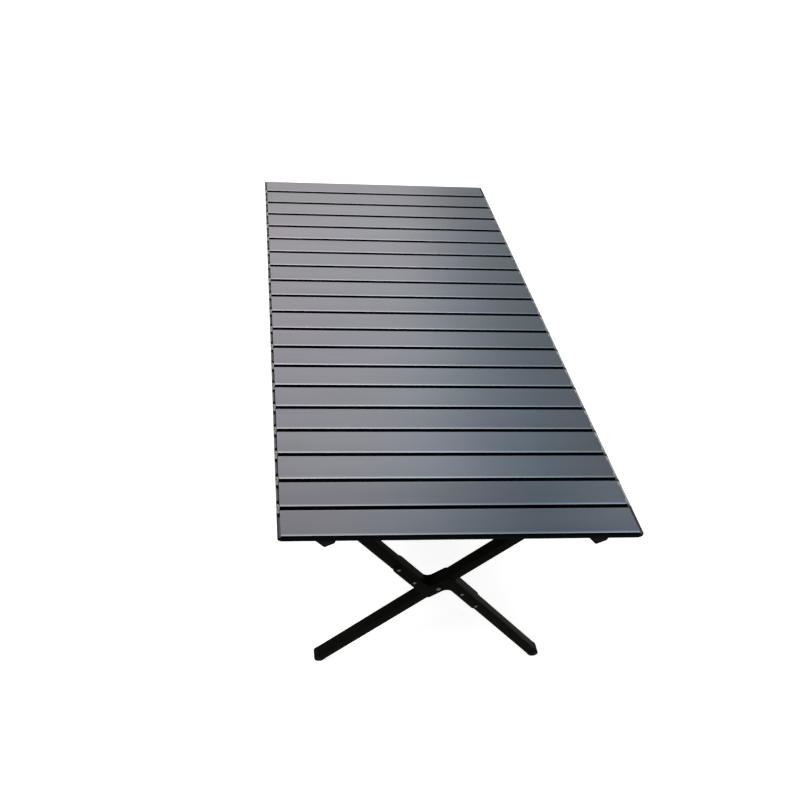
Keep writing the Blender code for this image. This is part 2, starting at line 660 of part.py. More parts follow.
def build_table():
    """Build every piece, from the left side frame outwards."""
    finishes = {
        "slat": finish("slat_anodised", (0.13, 0.14, 0.16), 0.9, 0.38),
        "hook": finish("hook_plastic", (0.012, 0.013, 0.012), 0.0, 0.5),
        "leg": finish("leg_coated", (0.014, 0.015, 0.014), 0.3, 0.4),
        "hub": finish("hub_plate_coated", (0.01, 0.011, 0.011), 0.3, 0.35),
        "foot": finish("foot_plastic", (0.012, 0.012, 0.012), 0.0, 0.55),
        "bracket": finish("bracket_plastic", (0.012, 0.012, 0.012), 0.0, 0.5),
        "rail": finish("rail_coated", (0.014, 0.015, 0.014), 0.3, 0.4),
        "rail_joint": finish("rail_joint_plastic", (0.012, 0.012, 0.012), 0.0, 0.5),
        "pin": finish("pin_steel", (0.35, 0.35, 0.35), 1.0, 0.35),
    }
    legs = leg_meshes()
    legs["front"] = hub_plate_mesh(True)
    legs["back"] = hub_plate_mesh(False)
    legs["pivot"] = hub_pivot_mesh()
    legs["foot"] = foot_mesh()
    sides = {
        "bracket": bracket_mesh(),
        "leg_pin": leg_pin_mesh(),
        "rail_pin": tidy(rail_pin_mesh()),
        "rail": rail_mesh(),
        "rail_joint": rail_joint_mesh(),
    }

    left_side = add_joint("left_side", (0.0, 0.0, 0.0))
    near_split = add_joint("turn_split_near", (LEFT_X, -LEG_PLANE, LEG_TOP), left_side)
    near_long = add_joint("turn_long_near", (0.0, -LEG_PLANE, PIVOT_HEIGHT), near_split)
    right_side = add_joint("turn_right_side", (RIGHT_X, -LEG_PLANE, LEG_TOP), near_long)
    far_split = add_joint("turn_split_far", (LEFT_X, LEG_PLANE, LEG_TOP), left_side)
    far_long = add_joint("turn_long_far", (0.0, LEG_PLANE, PIVOT_HEIGHT), far_split)
    build_side("left", LEFT_X, left_side, sides, finishes)
    build_side("right", RIGHT_X, right_side, sides, finishes)
    build_legs("near", -LEG_PLANE, near_split, near_long, legs, finishes)
    build_legs("far", LEG_PLANE, far_split, far_long, legs, finishes)

    slats = build_top(left_side, finishes["slat"])
    build_hooks(slats[0], slats[-1], finishes["hook"])


clear_scene()
build_table()
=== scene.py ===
"""Looks of a folding camp table: finishes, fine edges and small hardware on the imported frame.

Metres, +Z up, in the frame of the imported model. Slats lie along X, and the photographed end is at -Y.
"""

import logging
import math
from dataclasses import dataclass, replace
from enum import Enum, IntEnum

import bmesh
import bpy
from mathutils import Matrix, Vector


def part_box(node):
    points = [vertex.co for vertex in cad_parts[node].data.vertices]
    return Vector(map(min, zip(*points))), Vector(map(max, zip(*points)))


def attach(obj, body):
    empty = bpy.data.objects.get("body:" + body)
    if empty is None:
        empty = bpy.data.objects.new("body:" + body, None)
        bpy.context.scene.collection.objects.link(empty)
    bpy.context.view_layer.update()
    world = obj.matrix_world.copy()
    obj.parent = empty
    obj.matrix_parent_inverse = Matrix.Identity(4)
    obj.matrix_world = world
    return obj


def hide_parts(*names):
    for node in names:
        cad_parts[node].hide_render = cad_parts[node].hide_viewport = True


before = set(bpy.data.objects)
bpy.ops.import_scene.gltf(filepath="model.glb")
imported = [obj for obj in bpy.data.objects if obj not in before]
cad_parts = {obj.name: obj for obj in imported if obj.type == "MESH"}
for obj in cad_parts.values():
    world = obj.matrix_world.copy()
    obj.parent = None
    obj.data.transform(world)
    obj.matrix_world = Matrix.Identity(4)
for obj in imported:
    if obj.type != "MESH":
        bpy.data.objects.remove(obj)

LOG = logging.getLogger("camp_table")
Solid = bmesh.types.BMesh
Socket = bpy.types.NodeSocket
Material = bpy.types.Material
Point = tuple[float, float]
Outline = list[Point]
Span = tuple[float, float]
Triple = tuple[float, float, float]
Colour = Triple
Stops = tuple[tuple[float, Colour], ...]

QUARTER = math.pi / 2
SMOOTH_ANGLE = math.radians(32)  # faces that meet at less are shaded as one surface
EDGE_ANGLE = 0.6  # radians: faces that meet at more have an edge between them
CORNER_ANGLE = 0.9  # the same, on a solid with faceted round stretches
CLEARANCE = 0.0003
SAME_PLACE = 0.000001
FACE_MARGIN = 0.0001
AXIS_MERGE = 0.0000005
LIP_SHARE = 0.3  # of a domed head's height
# Beyond this share of its radius a turned head's rim takes a black painted shade.
RIM_SHARE = 0.72  # of a head's radius
GRAIN_DEPTH = 0.0001
NOISE_SPAN = (0.3, 0.7)  # holds most values of a noise
WHITE = (1.0, 1.0, 1.0, 1.0)


class Named(Enum):
    """Choice whose name is a word in the names of the CAD nodes."""

    @property
    def key(self) -> str:
        """The word, as the nodes have it."""
        return self.name.lower()


class Side(Named):
    """End of a slat or side of the frame, by its sign on X."""

    LEFT = -1
    RIGHT = 1


class End(Named):
    """End of the table, by its sign on Y."""

    NEAR = -1
    FAR = 1


class Face(Named):
    """Face of the legs that a hub plate lies on, by its sign on Y."""

    FRONT = -1
    BACK = 1


class ChannelFinish(IntEnum):
    """Material index of a channel's faces: the top, painted highlights and painted shade."""

    TOP = 0
    NEAR_EDGE = 1
    FAR_EDGE = 2
    SIDES = 3
    NEAR_BAND = 4


class CapFinish(IntEnum):
    """Material index of a cap's faces, among them painted light, painted reflection and painted shade.
    """

    LEDGE = 0
    LEFT_RIM = 1
    SIDES = 2
    RIGHT_RIM = 3


# Mesh building

def arc(centre: Point, radius: float, start: float, end: float, steps: int) -> Outline:
    """Work out an arc.

    Args:
        centre: Middle of the arc.
        radius: Its radius in metres.
        start: First angle in radians.
        end: Last angle in radians.
        steps: Number of straight pieces.

    Returns:
        Its points, with both ends.
    """
    angles = [start + (end - start) * step / steps for step in range(steps + 1)]
    return [(centre[0] + radius * math.cos(a), centre[1] + radius * math.sin(a)) for a in angles]


def rectangle(one: Point, other: Point) -> Outline:
    """Return a rectangle from two opposite corners."""
    return [(one[0], one[1]), (other[0], one[1]), (other[0], other[1]), (one[0], other[1])]


def soft_box(low: Point, high: Point, radius: float, steps: int = 4) -> Outline:
    """Work out a rectangle with rounded corners.

    Args:
        low: Its low corner.
        high: Its high corner.
        radius: Radius of the rounding.
        steps: Number of straight pieces in each corner.

    Returns:
        Its points.
    """
    centres = [(high[0] - radius, high[1] - radius), (low[0] + radius, high[1] - radius),
               (low[0] + radius, low[1] + radius), (high[0] - radius, low[1] + radius)]
    outline: Outline = []
    for number, centre in enumerate(centres):
        outline += arc(centre, radius, number * QUARTER, (number + 1) * QUARTER, steps)
    return outline


def mirrored(sign: int, first: float, second: float) -> Span:
    """Return two places, mirrored if the sign is -1, with the low one first."""
    low, high = sorted((sign * first, sign * second))
    return low, high


def sweep(outline: Outline, span: Span, axis: str) -> Solid:
    """Close an outline into a straight solid along an axis.

    Args:
        outline: Places along the other two axes, in the order X, Y, Z.
        span: Low and high place along the axis.
        axis: "X", "Y" or "Z".

    Returns:
        The solid with outward normals.
    """
    def corner(point: Point, depth: float) -> Triple:
        """Put an outline's point at a depth along the axis."""
        if axis == "X":
            return (depth, point[0], point[1])
        if axis == "Y":
            return (point[0], depth, point[1])
        return (point[0], point[1], depth)

    shape = bmesh.new()
    rings = [[shape.verts.new(corner(point, depth)) for point in outline] for depth in span]
    shape.faces.new(rings[0])
    shape.faces.new(list(reversed(rings[1])))
    for number in range(len(outline)):
        other = (number + 1) % len(outline)
        shape.faces.new((rings[0][number], rings[0][other], rings[1][other], rings[1][number]))
    bmesh.ops.recalc_face_normals(shape, faces=shape.faces)
    return shape


def round_edges(shape: Solid, edges: list[bmesh.types.BMEdge], width: float, segments: int,
                clamp: bool = False) -> None:
    """Round chosen edges of a solid.

    Args:
        shape: The solid, changed in place.
        edges: Its edges to round.
        width: Width of the rounding in metres.
        segments: Facets across it.
        clamp: True to narrow the rounding where it would overlap.
    """
    bmesh.ops.bevel(shape, geom=edges, offset=width, segments=segments, profile=0.5,
                    affect="EDGES", clamp_overlap=clamp)


def soften(shape: Solid, width: float, segments: int = 2, least: float = EDGE_ANGLE) -> None:
    """Round the sharp edges of a solid.

    Args:
        shape: The solid, changed in place.
        width: Width of the rounding in metres.
        segments: Facets across it.
        least: Smallest angle between faces, in radians, that counts as an edge.
    """
    edges = [edge for edge in shape.edges
             if len(edge.link_faces) == 2 and edge.calc_face_angle(0.0) > least]
    round_edges(shape, edges, width, segments, True)


def lathe(profile: Outline, steps: int = 28) -> Solid:
    """Turn a profile about the Y axis.

    Args:
        profile: Pairs of a place along Y and a radius, from axis to axis.
        steps: Number of flat pieces round the solid.

    Returns:
        The closed solid.
    """
    shape = bmesh.new()
    points = [shape.verts.new((radius, along, 0.0)) for along, radius in profile]
    edges = [shape.edges.new(pair) for pair in zip(points, points[1:])]
    bmesh.ops.spin(shape, geom=points + edges, axis=(0.0, 1.0, 0.0), cent=(0.0, 0.0, 0.0),
                   steps=steps, angle=2 * math.pi, use_merge=True)
    bmesh.ops.remove_doubles(shape, verts=shape.verts, dist=AXIS_MERGE)
    bmesh.ops.recalc_face_normals(shape, faces=shape.faces)
    return shape


def dome(radius: float, height: float, face: float, outward: int, steps: int = 6) -> Outline:
    """Work out the profile of a domed head on a face across Y.

    Args:
        radius: Radius of the head.
        height: Its height over the face.
        face: Place of the face along Y.
        outward: Way that the head stands out, by its sign on Y.
        steps: Number of straight pieces in the dome.

    Returns:
        Its points, from the rim to the crown.
    """
    lip = height * LIP_SHARE
    crown = [(face + outward * (lip + (height - lip) * math.sin(a)), radius * math.cos(a))
             for a in (QUARTER * step / steps for step in range(steps + 1))]
    return [(face, radius)] + crown


def headed_pin(radius: float, head_radius: float, head_height: float, head_face: float,
               tail: float, tail_head: bool = False) -> Solid:
    """Build a round pin along Y with a domed head at its low end.

    Args:
        radius: Radius of the shank.
        head_radius: Radius of the head.
        head_height: Height of the head.
        head_face: Place of the face that the head stands on.
        tail: Place of the shank's other end.
        tail_head: True to head that end too, or else it has a chamfer.

    Returns:
        The pin.
    """
    chamfer = radius / 4
    profile = dome(head_radius, head_height, head_face, -1)[::-1] + [(head_face, radius)]
    if tail_head:
        profile += [(tail, radius)] + dome(head_radius, head_height, tail, 1)
    else:
        profile += [(tail - chamfer, radius), (tail, radius - chamfer), (tail, 0.0)]
    return lathe(profile)


def shade_rim(shape: Solid, radius: float) -> None:
    """Give a turned head's rim its second finish, a black painted shade round the crown."""
    for face in shape.faces:
        centre = face.calc_center_median()
        if math.hypot(centre.x, centre.z) > RIM_SHARE * radius:
            face.material_index = 1


def paint(shape: Solid, index: int) -> None:
    """Give all faces of a solid one material index."""
    for face in shape.faces:
        face.material_index = index


def move(shape: Solid, matrix: Matrix) -> Solid:
    """Transform a solid and return it."""
    bmesh.ops.transform(shape, matrix=matrix, verts=shape.verts)
    return shape


def shift(x: float, y: float, z: float) -> Matrix:
    """Return a move by three distances."""
    return Matrix.Translation((x, y, z))


def facing(end: End, x: float, y: float, z: float) -> Matrix:
    """Return a move for a shape built for the near end, with a half turn at the far end."""
    turn = Matrix.Rotation(math.pi, 4, "Z") if end is End.FAR else Matrix.Identity(4)
    return shift(x, y, z) @ turn


def middle(node: str) -> Vector:
    """Return the middle of a CAD node's box."""
    low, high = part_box(node)
    return (low + high) / 2


@dataclass(frozen=True)
class Carrier:
    """Body that a group of pieces rides on, and a slot name for their finish."""

    body: str
    slot: str

    def add(self, name: str, shapes: list[Solid], finishes: list[Material],
            replaced: tuple[str, ...] = ()) -> None:
        """Join solids into one piece on this body.

        Args:
            name: Name of the piece.
            shapes: Its solids, each freed here.
            finishes: Its materials, in the order of the faces' material indices.
            replaced: CAD nodes that it stands for.
        """
        mesh = bpy.data.meshes.new(name)
        whole = bmesh.new()
        for shape in shapes:
            part = bpy.data.meshes.new("part")
            shape.to_mesh(part)
            shape.free()
            whole.from_mesh(part)
            bpy.data.meshes.remove(part)
        whole.to_mesh(mesh)
        whole.free()
        mesh.shade_smooth()
        mesh.set_sharp_from_angle(angle=SMOOTH_ANGLE)
        for finish in finishes:
            mesh.materials.append(finish)
        piece = bpy.data.objects.new(name, mesh)
        bpy.context.scene.collection.objects.link(piece)
        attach(piece, self.body)
        if replaced:
            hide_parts(*replaced)
        LOG.info("%s on %s", name, self.body)


# Finishes

class Graph:
    """Node graph of one material, with short calls for adding and linking nodes."""

    def __init__(self, name: str) -> None:
        """Start a material that has its shader and output."""
        self.material = bpy.data.materials.new(name)
        self.material.use_nodes = True
        self.nodes = self.material.node_tree.nodes
        self.links = self.material.node_tree.links
        self.shader = self.nodes["Principled BSDF"]

    def add(self, kind: str, **settings: object) -> bpy.types.Node:
        """Add a node and set its properties."""
        node = self.nodes.new(kind)
        for key, value in settings.items():
            setattr(node, key, value)
        return node

    def link(self, source: Socket, target: Socket) -> None:
        """Join two sockets."""
        self.links.new(source, target)

    def put(self, socket: str, value: float | tuple[float, ...]) -> None:
        """Set one of the shader's own sockets."""
        self.shader.inputs[socket].default_value = value

    def feed(self, socket: str, source: Socket) -> None:
        """Link a value or a colour to one of the shader's sockets."""
        self.link(source, self.shader.inputs[socket])

    def place(self, scale: Triple = (1.0, 1.0, 1.0)) -> Socket:
        """Return the place on the object at rest, stretched by a scale."""
        coordinates = self.add("ShaderNodeTexCoord")
        mapping = self.add("ShaderNodeMapping")
        mapping.inputs["Scale"].default_value = scale
        self.link(coordinates.outputs["Object"], mapping.inputs["Vector"])
        return mapping.outputs["Vector"]

    def noise(self, where: Socket, scale: float, detail: float) -> Socket:
        """Add a noise.

        Args:
            where: Place on the object.
            scale: Number of grains to a metre.
            detail: Number of finer layers.

        Returns:
            Its value from 0 to 1.
        """
        texture = self.add("ShaderNodeTexNoise")
        texture.inputs["Scale"].default_value = scale
        texture.inputs["Detail"].default_value = detail
        self.link(where, texture.inputs["Vector"])
        return texture.outputs["Fac"]

    def ranged(self, value: Socket, source: Span, target: Span) -> Socket:
        """Map a value from one span to another.

        Args:
            value: The value.
            source: Span that it is read in.
            target: Span that it is given in.

        Returns:
            The mapped value.
        """
        node = self.add("ShaderNodeMapRange")
        node.inputs["From Min"].default_value = source[0]
        node.inputs["From Max"].default_value = source[1]
        node.inputs["To Min"].default_value = target[0]
        node.inputs["To Max"].default_value = target[1]
        self.link(value, node.inputs["Value"])
        return node.outputs["Result"]

    def ramp(self, value: Socket, stops: Stops) -> Socket:
        """Read a ramp at a value.

        Args:
            value: Place on the ramp, from 0 to 1.
            stops: Place and linear colour of each stop.

        Returns:
            The colour.
        """
        node = self.add("ShaderNodeValToRGB")
        elements = node.color_ramp.elements
        while len(elements) < len(stops):
            elements.new(1.0)
        for element, (place, colour) in zip(elements, stops):
            element.position = place
            element.color = (*colour, 1.0)
        self.link(value, node.inputs["Fac"])
        return node.outputs["Color"]

    def combined(self, kind: str, operation: str, first: Socket, second: Socket) -> bpy.types.Node:
        """Add a maths node with two inputs.

        Args:
            kind: Type of the node.
            operation: What it does.
            first: Its first input.
            second: Its second input.

        Returns:
            The node.
        """
        node = self.add(kind, operation=operation)
        self.link(first, node.inputs[0])
        self.link(second, node.inputs[1])
        return node

    def tinted(self, colour: Socket, amount: Socket) -> Socket:
        """Return a colour scaled by an amount."""
        node = self.add("ShaderNodeVectorMath", operation="SCALE")
        self.link(colour, node.inputs["Vector"])
        self.link(amount, node.inputs["Scale"])
        return node.outputs["Vector"]

    def clouded(self, cloud: Socket, span: Span, colours: tuple[Colour, Colour],
                roughness: Span) -> None:
        """Let a noise set the shader's colour and roughness.

        Args:
            cloud: The noise.
            span: Its values at which the two colours are reached.
            colours: The two linear colours.
            roughness: Roughness at the ends of the noise's usual span.
        """
        self.feed("Base Color", self.ramp(cloud, tuple(zip(span, colours))))
        self.feed("Roughness", self.ranged(cloud, NOISE_SPAN, roughness))

    def bump(self, height: Socket, strength: float) -> None:
        """Give the shader a fine grain from a height."""
        node = self.add("ShaderNodeBump")
        node.inputs["Strength"].default_value = strength
        node.inputs["Distance"].default_value = GRAIN_DEPTH
        self.link(height, node.inputs["Height"])
        self.feed("Normal", node.outputs["Normal"])


@dataclass(frozen=True)
class Anodised:
    """Dark satin anodised aluminium, drawn lengthwise, with a painted reflection and painted shade that
    drift over the whole top.
    """

    name: str
    half_width: float
    length: float
    slats: int
    # Above 1 in the copies that paint highlights along the slat edges.
    lift: float = 1.0
    metallic: float = 0.55
    roughness: Span = (0.36, 0.46)
    gloss_span: Span = (0.2, 0.8)
    relief: float = 0.12
    # Slant and tones paint a reflection across the top: violet-grey at the far left corner, turning
    # blue-grey towards the near right.
    slant: float = 0.6
    painted_reflection_tones: Stops = (
        (0.00, (0.094, 0.085, 0.094)),
        (0.35, (0.085, 0.085, 0.096)),
        (0.50, (0.087, 0.090, 0.102)),
        (0.65, (0.080, 0.095, 0.116)),
        (0.81, (0.069, 0.092, 0.120)),
        (1.00, (0.080, 0.098, 0.121)),
    )
    stains: Stops = ((0.35, (1.03, 0.985, 1.03)), (0.65, (0.97, 1.01, 0.985)))
    stain_scale: Triple = (5.0, 14.0, 1.0)
    noise_span: Span = (0.25, 0.75)
    streak: Span = (0.965, 1.035)
    streak_scale: Triple = (2.0, 260.0, 2.0)
    patch: Span = (0.94, 1.06)
    patch_scale: Triple = (6.0, 25.0, 3.0)
    batch: Span = (0.96, 1.04)
    # Painted shade: the near slats darker behind a soft step, a little paler only at their right end;
    # behind them the right end darker; the far slats darker too.
    near_depth: float = 0.115
    near_fade: float = 0.006
    near_shade_dims: tuple[Span, ...] = ((0.0, 0.85), (0.3, 0.81), (0.5, 0.69), (0.75, 0.75), (0.95, 1.08))
    right_end_shade_span: Span = (0.76, 1.0)
    right_end_shade: float = 0.68
    far_shade_span: Span = (0.35, 0.56)
    far_shade: float = 0.88

    def along(self, graph: Graph, y: Socket, target: Span) -> Socket:
        """Return the place along the top, given in a span from its near to its far edge."""
        return graph.ranged(y, (-self.length / 2, self.length / 2), target)

    def tone(self, graph: Graph, across: Socket, y: Socket) -> Socket:
        """Work out the colour, a painted reflection that drifts from one corner of the top to the
        other.

        Args:
            graph: Graph to add to.
            across: Place across the top, from 0 to 1.
            y: Place along Y.

        Returns:
            The colour, with faint violet and green stains.
        """
        along = self.along(graph, y, (self.slant, 0.0))
        slanted = graph.combined("ShaderNodeMath", "ADD", across, along)
        place = graph.ranged(slanted.outputs["Value"], (0.0, 1.0 + self.slant), (0.0, 1.0))
        clouds = graph.noise(graph.place(self.stain_scale), 1.0, 1.0)
        stained = graph.combined("ShaderNodeVectorMath", "MULTIPLY",
                                 graph.ramp(place, self.painted_reflection_tones), graph.ramp(clouds, self.stains))
        return stained.outputs["Vector"]

    def near_tone(self, graph: Graph, across: Socket, y: Socket) -> Socket:
        """Work out the painted shade: how much darker the near slats and the right end are.

        Args:
            graph: Graph to add to.
            across: Place across the top, from 0 to 1.
            y: Place along Y.

        Returns:
            The amount, with a soft step behind the near slats.
        """
        border = self.near_depth - self.length / 2
        step = graph.add("ShaderNodeMapRange", interpolation_type="SMOOTHSTEP")
        step.inputs["From Min"].default_value = border - self.near_fade
        step.inputs["From Max"].default_value = border + self.near_fade
        near = graph.ramp(across, tuple((place, (dim,) * 3) for place, dim in self.near_shade_dims))
        graph.link(near, step.inputs["To Min"])
        graph.link(graph.ranged(across, self.right_end_shade_span, (1.0, self.right_end_shade)), step.inputs["To Max"])
        graph.link(y, step.inputs["Value"])
        return step.outputs["Result"]

    def batch_tone(self, graph: Graph, y: Socket) -> Socket:
        """Work out the small difference in tone between slats.

        Args:
            graph: Graph to add to.
            y: Place along Y.

        Returns:
            The amount, the same all over a slat.
        """
        slat = graph.add("ShaderNodeMath", operation="FLOOR")
        graph.link(self.along(graph, y, (0.0, self.slats)), slat.inputs[0])
        chance = graph.add("ShaderNodeTexWhiteNoise", noise_dimensions="1D")
        graph.link(slat.outputs["Value"], chance.inputs["W"])
        return graph.ranged(chance.outputs["Value"], (0.0, 1.0), self.batch)

    def build(self) -> Material:
        """Return the material."""
        graph = Graph(self.name)
        split = graph.add("ShaderNodeSeparateXYZ")
        graph.link(graph.place(), split.inputs["Vector"])
        x, y = split.outputs["X"], split.outputs["Y"]
        across = graph.ranged(x, (-self.half_width, self.half_width), (0.0, 1.0))
        streaks = graph.noise(graph.place(self.streak_scale), 1.0, 3.0)
        patches = graph.noise(graph.place(self.patch_scale), 1.0, 3.0)
        patch_and_highlight = (self.patch[0] * self.lift, self.patch[1] * self.lift)
        colour = self.tone(graph, across, y)
        # Painted shade on the near slats, the right end and the far slats, then streaks, patches that
        # carry the edge copies' painted highlight, and a tone by slat.
        for amount in (self.near_tone(graph, across, y),
                       graph.ranged(y, self.far_shade_span, (1.0, self.far_shade)),
                       graph.ranged(streaks, self.noise_span, self.streak),
                       graph.ranged(patches, self.noise_span, patch_and_highlight),
                       self.batch_tone(graph, y)):
            colour = graph.tinted(colour, amount)
        graph.feed("Base Color", colour)
        graph.put("Metallic", self.metallic)
        graph.feed("Roughness", graph.ranged(streaks, self.gloss_span, self.roughness))
        graph.bump(streaks, self.relief)
        return graph.material


@dataclass(frozen=True)
class PowderCoat:
    """Satin powder coat with fine orange peel, a little paler in clouds; the copy on the tubes' upper
    face is a painted sheen.
    """

    name: str
    colour: Colour
    rubbed: Colour
    roughness: Span = (0.34, 0.48)
    sheen: float = 0.004
    grain: float = 2600.0
    relief: float = 0.25
    cloud: float = 38.0
    cloud_span: Span = (0.35, 0.75)

    def build(self) -> Material:
        """Return the material."""
        graph = Graph(self.name)
        where = graph.place()
        cloud = graph.noise(where, self.cloud, 4.0)
        graph.clouded(cloud, self.cloud_span, (self.colour, self.rubbed), self.roughness)
        graph.put("Specular IOR Level", self.sheen)
        graph.bump(graph.noise(where, self.grain, 2.0), self.relief)
        return graph.material


@dataclass(frozen=True)
class Moulded:
    """Moulded plastic with a fine spark grain."""

    name: str
    colour: Colour
    worn: Colour
    roughness: Span = (0.42, 0.58)
    sheen: float = 0.01
    grain: float = 3800.0
    relief: float = 0.18
    cloud: float = 55.0
    cloud_span: Span = (0.3, 0.8)

    def build(self) -> Material:
        """Return the material."""
        graph = Graph(self.name)
        where = graph.place()
        cloud = graph.noise(where, self.cloud, 3.0)
        graph.clouded(cloud, self.cloud_span, (self.colour, self.worn), self.roughness)
        graph.put("Specular IOR Level", self.sheen)
        spark = graph.add("ShaderNodeTexVoronoi")
        spark.inputs["Scale"].default_value = self.grain
        graph.link(where, spark.inputs["Vector"])
        graph.bump(spark.outputs["Distance"], self.relief)
        return graph.material


@dataclass(frozen=True)
class Plated:
    """Zinc-plated steel: dull, a little cloudy, with fine turning marks."""

    name: str
    bright: Colour
    dull: Colour
    metallic: float = 0.9
    roughness: Span = (0.3, 0.5)
    mark: float = 5200.0
    mark_scale: Triple = (1.0, 0.15, 1.0)
    relief: float = 0.15
    cloud: float = 420.0

    def build(self) -> Material:
        """Return the material."""
        graph = Graph(self.name)
        cloud = graph.noise(graph.place(), self.cloud, 3.0)
        graph.clouded(cloud, NOISE_SPAN, (self.dull, self.bright), self.roughness)
        graph.put("Metallic", self.metallic)
        graph.bump(graph.noise(graph.place(self.mark_scale), self.mark, 1.0), self.relief)
        return graph.material


@dataclass(frozen=True)
class Finishes:
    """The materials of the table."""

    slat: Material
    slat_near_edge: Material
    slat_near_band: Material
    slat_far_edge: Material
    # Near-black painted shade on the slat sides, inside the gaps, under the slats and on the near
    # edge's lower rounding; also on the caps' faces towards the gaps.
    slat_side: Material
    cap_ledge: Material
    cap_rim: Material
    right_rim: Material
    end_ledge: Material
    end_rim: Material
    leaf: Material
    leaf_shaded: Material
    plug: Material
    tube: Material
    tube_rubbed: Material
    plate: Material
    rivet: Material
    rivet_rim: Material
    plastic: Material
    hook: Material

    @classmethod
    def build(cls, count: int) -> "Finishes":
        """Build every material once.

        Args:
            count: Number of slats.

        Returns:
            The finishes.
        """
        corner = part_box(f"slat_{count:02d}")[1]
        slat = Anodised("slat_anodised", corner.x, 2 * corner.y, count)
        return cls(
            slat=slat.build(),
            # Paler copies of the top, by lift, as painted highlights: on the near edge's rounding, on a
            # band beside it, and on the far edge and the ends.
            slat_near_edge=replace(slat, name="slat_near_edge", lift=4.2,
                                   roughness=(0.28, 0.36)).build(),
            slat_near_band=replace(slat, name="slat_near_band", lift=1.75,
                                   roughness=(0.32, 0.42)).build(),
            slat_far_edge=replace(slat, name="slat_far_edge", lift=2.0,
                                  roughness=(0.3, 0.4)).build(),
            slat_side=PowderCoat("slat_side_dark", (0.0015, 0.0018, 0.002),
                                 (0.003, 0.0033, 0.0036)).build(),
            # Middle slats' caps: the ledge in painted shade and the left rim paler and greener as
            # painted light.
            cap_ledge=Moulded("cap_ledge_plastic", (0.042, 0.038, 0.052),
                              (0.055, 0.052, 0.066)).build(),
            cap_rim=Moulded("cap_rim_plastic", (0.135, 0.14, 0.122), (0.175, 0.18, 0.16)).build(),
            # Pale grey painted reflection along the middle slats' right ends: rims, hinge plates and
            # plugs.
            right_rim=Moulded("right_rim_plastic", (0.27, 0.275, 0.28), (0.34, 0.345, 0.35)).build(),
            end_ledge=Moulded("end_ledge_plastic", (0.085, 0.083, 0.095),
                              (0.105, 0.102, 0.115)).build(),
            end_rim=Moulded("end_rim_plastic", (0.035, 0.036, 0.038), (0.05, 0.05, 0.052)).build(),
            leaf=Plated("hinge_leaf_steel", (0.14, 0.15, 0.13), (0.09, 0.10, 0.085),
                        metallic=0.4).build(),
            # Painted-shade copy of the leaf steel, for the right knuckles.
            leaf_shaded=Plated("hinge_leaf_painted_shade", (0.03, 0.031, 0.03), (0.018, 0.019, 0.018),
                               metallic=0.4).build(),
            plug=Moulded("plug_black", (0.002, 0.002, 0.0025), (0.004, 0.004, 0.004)).build(),
            tube=PowderCoat("tube_black_coat", (0.0040, 0.0044, 0.0036),
                            (0.0060, 0.0064, 0.0052)).build(),
            # Paler coat as a painted sheen on the lower tubes' upper face.
            tube_rubbed=PowderCoat("tube_rubbed_coat", (0.020, 0.022, 0.018),
                                   (0.030, 0.032, 0.026)).build(),
            plate=PowderCoat("hub_plate_black_coat", (0.0036, 0.0040, 0.0033),
                             (0.0052, 0.0056, 0.0046)).build(),
            rivet=Plated("rivet_worn_zinc", (0.075, 0.075, 0.072), (0.05, 0.05, 0.048)).build(),
            # Black painted shade round the crowns of rivet and pivot heads; all of the stop pin's head.
            rivet_rim=Moulded("rivet_rim_black", (0.004, 0.004, 0.004),
                              (0.007, 0.007, 0.007)).build(),
            plastic=Moulded("black_plastic", (0.0035, 0.0038, 0.0035),
                            (0.006, 0.0063, 0.006)).build(),
            hook=Moulded("hook_black_plastic", (0.004, 0.005, 0.004), (0.007, 0.008, 0.007)).build(),
        )


# Top

